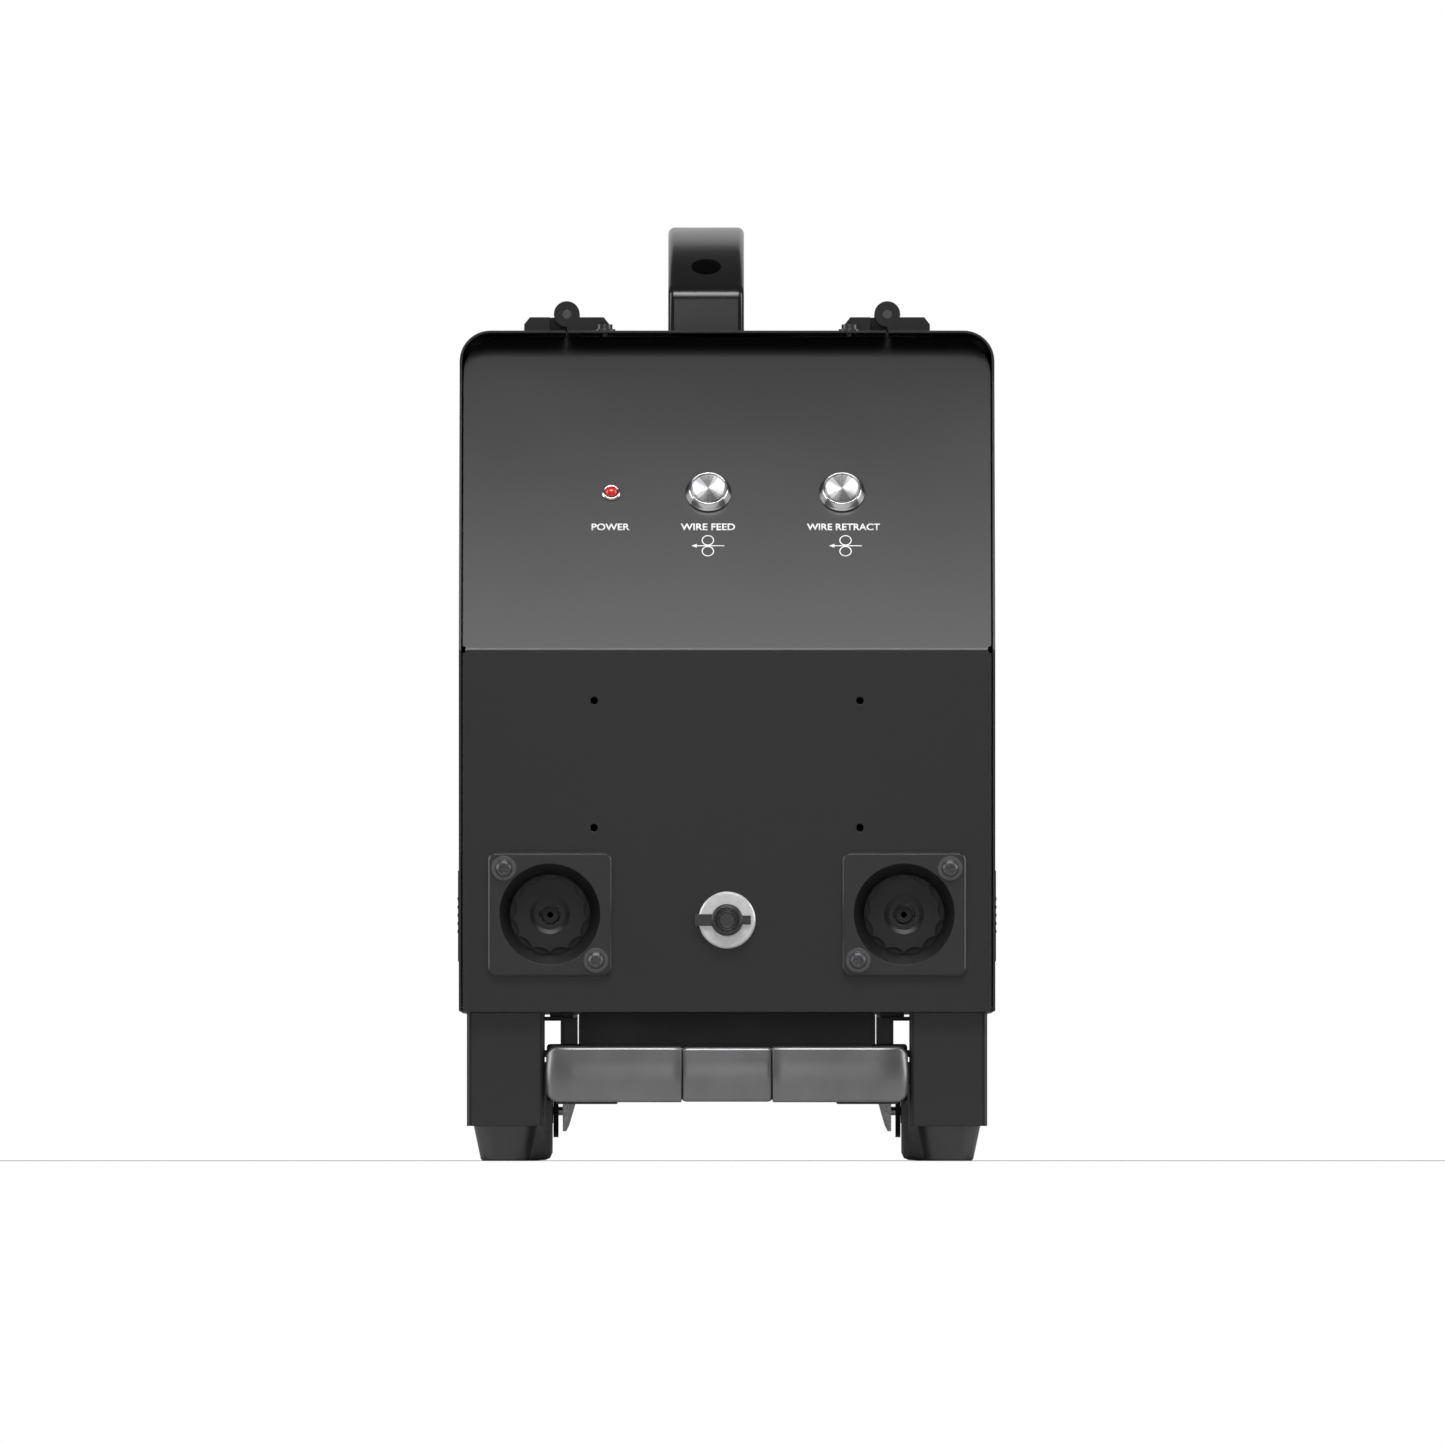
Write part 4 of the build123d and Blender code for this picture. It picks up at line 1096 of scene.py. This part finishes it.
def pullButton():
    look = pullGrip
    half = look["buttonHalf"]
    rear = look["rear"] - look["buttonDepth"]
    build = bmesh.new()
    edge = look["buttonEdge"]
    corner = []
    for step in range(7):
        angle = math.radians(90 * step / 6)
        corner.append((half - edge + edge * math.cos(angle), look["buttonInset"] * (1 - math.sin(angle))))
    stations = list(corner)
    for step in range(1, 8):
        stations.append(((half - edge) * (1 - step / 4), 0.0))
    stations += [(-x, inset) for x, inset in reversed(corner)]
    rings = [gripRing(build, x, rear, inset, look["buttonSlack"]) for x, inset in stations]
    loftRings(build, rings)
    button = addPiece("gripButton", finishMesh(build, "gripButton"), gripSatin, "release_button")
    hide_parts("release_button")


carryHandle()
print("carrying handle done")
pullGripPieces()
pullButton()
print("pull handle done")


# control board parts: sleeves over the moulded shapes of the board
# each has its near top corner and its far corner in mm, and its slot
boardParts = {
    "skin": 0.15 * mm,
    "face": -8.6 * mm,
    "relay": ((-24, -132, 308), (-104, 330), "satin_plastic"),
    "driver": ((-18, -96, 310), (-70, 322), "motor_steel"),
    "supply": ((-21, -130, 342), (-112, 364), "zinc"),
    "plug": ((-13, -102, 336), (-82, 352), "gloss_plastic"),
    "capRows": (-76, -90, -104),
    "capHeight": 364 * mm,
    "capRadius": 5.15 * mm,
    "capReach": -26.1 * mm,
}


def controlBoardParts():
    look = boardParts
    skin = look["skin"]
    for part in ("relay", "driver", "supply", "plug"):
        (top, nearY, nearZ), (farY, farZ), slotName = look[part]
        roundedBlock(
            f"board_{part}",
            (top * mm - skin, nearY * mm - skin, nearZ * mm - skin),
            (look["face"] + 0.05 * mm, farY * mm + skin, farZ * mm + skin),
            0.6 * mm, finishes[slotName], "case",
        )
    for row, y in enumerate(look["capRows"]):
        height = look["face"] - look["capReach"]
        radius = look["capRadius"]
        groove = [(radius, 2 * mm), (radius - 0.5 * mm, 2.6 * mm), (radius, 3.2 * mm)]
        can = roundedProfile([(0, 0), (radius, 0), *groove, (radius, height), (0, height)], 0.4 * mm)
        place = axisPlace(Vector((look["face"], y * mm, look["capHeight"])), (-1, 0, 0))
        mesh = turnedMesh(f"boardCan{row}", can, 48)
        addPiece(f"boardCan{row}", mesh, finishes["gloss_plastic"], "case", place)


controlBoardParts()
print("control board parts done")


# wire coils

woundWire = {
    "wire": 1.2 * mm,
    "core": 98 * mm,
    "sideGap": 0.1 * mm,
    "steps": 160,
    "wander": 0.12,
    "seeds": {"left": 7, "right": 11},
}


def woundCoil(side):
    # rows of wound wire across the drum, with a slightly uneven outer layer
    low, high = nodeBox(f"{side}_wire_coil")
    middle = (low + high) / 2
    look = woundWire
    outer = (high.z - low.z) / 2
    inner = look["core"]
    left, right = low.x + look["sideGap"], high.x - look["sideGap"]
    rows = int((right - left) / look["wire"])
    pitch = (right - left) / rows
    rng = random.Random(look["seeds"][side])
    profile = [(inner, left)]
    for row in range(rows):
        sink = rng.random() * look["wander"] * look["wire"]
        base = left + row * pitch
        for step in range(5):
            angle = math.pi * (step + 0.5) / 5
            radius = outer - look["wire"] / 2 - sink + math.sin(angle) * look["wire"] / 2
            profile.append((radius, base + pitch * (0.5 - 0.5 * math.cos(angle))))
    profile.append((inner, right))
    mesh = turnedMesh(f"{side}WoundWire", [(r, x - middle.x) for r, x in profile], look["steps"])
    place = axisPlace(middle, (1, 0, 0))
    coil = addPiece(f"{side}WoundWire", mesh, finishes["copper_wire"], f"{side}_spool", place)
    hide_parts(f"{side}_wire_coil")


for side in ("left", "right"):
    woundCoil(side)
print("coils wound")


# floor, light and camera

studio = {
    "floorHalf": 9.0,
    "floorColour": (0.66, 0.66, 0.66),
    "dim": 0.10,
    "camDistance": 28.0,
    "camHalfAngle": 0.7163,
    "camHeight": 0.0004,
    "aimX": -0.0022,
    "aimZ": 0.2123,
}


def paleFloor():
    half = studio["floorHalf"]
    build = bmesh.new()
    corners = [build.verts.new((x * half, y * half, 0)) for x, y in ((-1, -1), (1, -1), (1, 1), (-1, 1))]
    build.faces.new(corners)
    mesh = bpy.data.meshes.new("floor")
    build.to_mesh(mesh)
    build.free()
    floor = bpy.data.objects.new("floor", mesh)
    bpy.context.collection.objects.link(floor)
    finish, tree, shader = blankFinish("paleFloor")
    clouds = noiseAt(tree, objectPlace(tree), 3.0)
    light = studio["floorColour"]
    tree.links.new(blendColours(tree, clouds, light, tuple(c * 0.985 for c in light)), shader.inputs["Base Color"])
    shader.inputs["Roughness"].default_value = 0.7
    floor.data.materials.append(finish)
    return floor


softLights = {
    "overhead": {
        "place": (0, -0.79, 0.93),
        "target": (0, -0.34, 0.30),
        "size": (1.0, 0.40),
        "power": 2.2,
        "beam": 70,
    },
    "leftStrip": {"place": (-1.5, -0.35, 0.6), "target": (0, -0.1, 0.25), "size": (0.5, 1.3), "power": 9},
    "rightStrip": {"place": (1.5, -0.35, 0.6), "target": (0, -0.1, 0.25), "size": (0.5, 1.3), "power": 9},
    "frontFill": {"place": (0, -2.4, 0.26), "target": (0, -0.26, 0.10), "size": (0.8, 0.6), "power": 2.2},
    "rearCard": {"place": (0, 2.2, 1.05), "target": (0, 0.1, 0.6), "size": (3.2, 2.0), "power": 14},
}


def softBox(name, place, target, size, power, beam=180):
    lamp = bpy.data.lights.new(name, "AREA")
    lamp.shape = "RECTANGLE"
    lamp.size, lamp.size_y = size
    lamp.energy = power
    lamp.spread = math.radians(beam)
    holder = bpy.data.objects.new(name, lamp)
    holder.location = place
    aim = Vector(target) - Vector(place)
    holder.rotation_euler = aim.to_track_quat("-Z", "Y").to_euler()
    bpy.context.collection.objects.link(holder)
    return holder


def studioWorld():
    # white backdrop to the eye, a dimmer room for everything that the object reflects
    world = bpy.data.worlds.new("studio")
    bpy.context.scene.world = world
    world.use_nodes = True
    tree = world.node_tree
    tree.nodes.clear()
    seen = tree.nodes.new("ShaderNodeBackground")
    seen.inputs["Color"].default_value = (1, 1, 1, 1)
    room = tree.nodes.new("ShaderNodeBackground")
    room.inputs["Color"].default_value = (1, 1, 1, 1)
    room.inputs["Strength"].default_value = studio["dim"]
    ray = tree.nodes.new("ShaderNodeLightPath")
    mix = tree.nodes.new("ShaderNodeMixShader")
    out = tree.nodes.new("ShaderNodeOutputWorld")
    tree.links.new(ray.outputs["Is Camera Ray"], mix.inputs["Fac"])
    tree.links.new(room.outputs["Background"], mix.inputs[1])
    tree.links.new(seen.outputs["Background"], mix.inputs[2])
    tree.links.new(mix.outputs["Shader"], out.inputs["Surface"])


def frontCamera():
    # long lens at floor level, so the view is almost parallel
    lens = bpy.data.cameras.new("frontCamera")
    lens.sensor_width = 36
    lens.lens = 18 / math.tan(math.radians(studio["camHalfAngle"]))
    lens.clip_start = 0.5
    lens.clip_end = 200
    holder = bpy.data.objects.new("frontCamera", lens)
    holder.location = (studio["aimX"], caseFront - studio["camDistance"], studio["camHeight"])
    aim = Vector((studio["aimX"], caseFront, studio["aimZ"])) - holder.location
    holder.rotation_euler = aim.to_track_quat("-Z", "Y").to_euler()
    bpy.context.collection.objects.link(holder)
    bpy.context.scene.camera = holder


paleFloor()
studioWorld()
for name, lamp in softLights.items():
    softBox(name, **lamp)
frontCamera()
bpy.context.scene.view_settings.view_transform = "Standard"
print("studio ready")
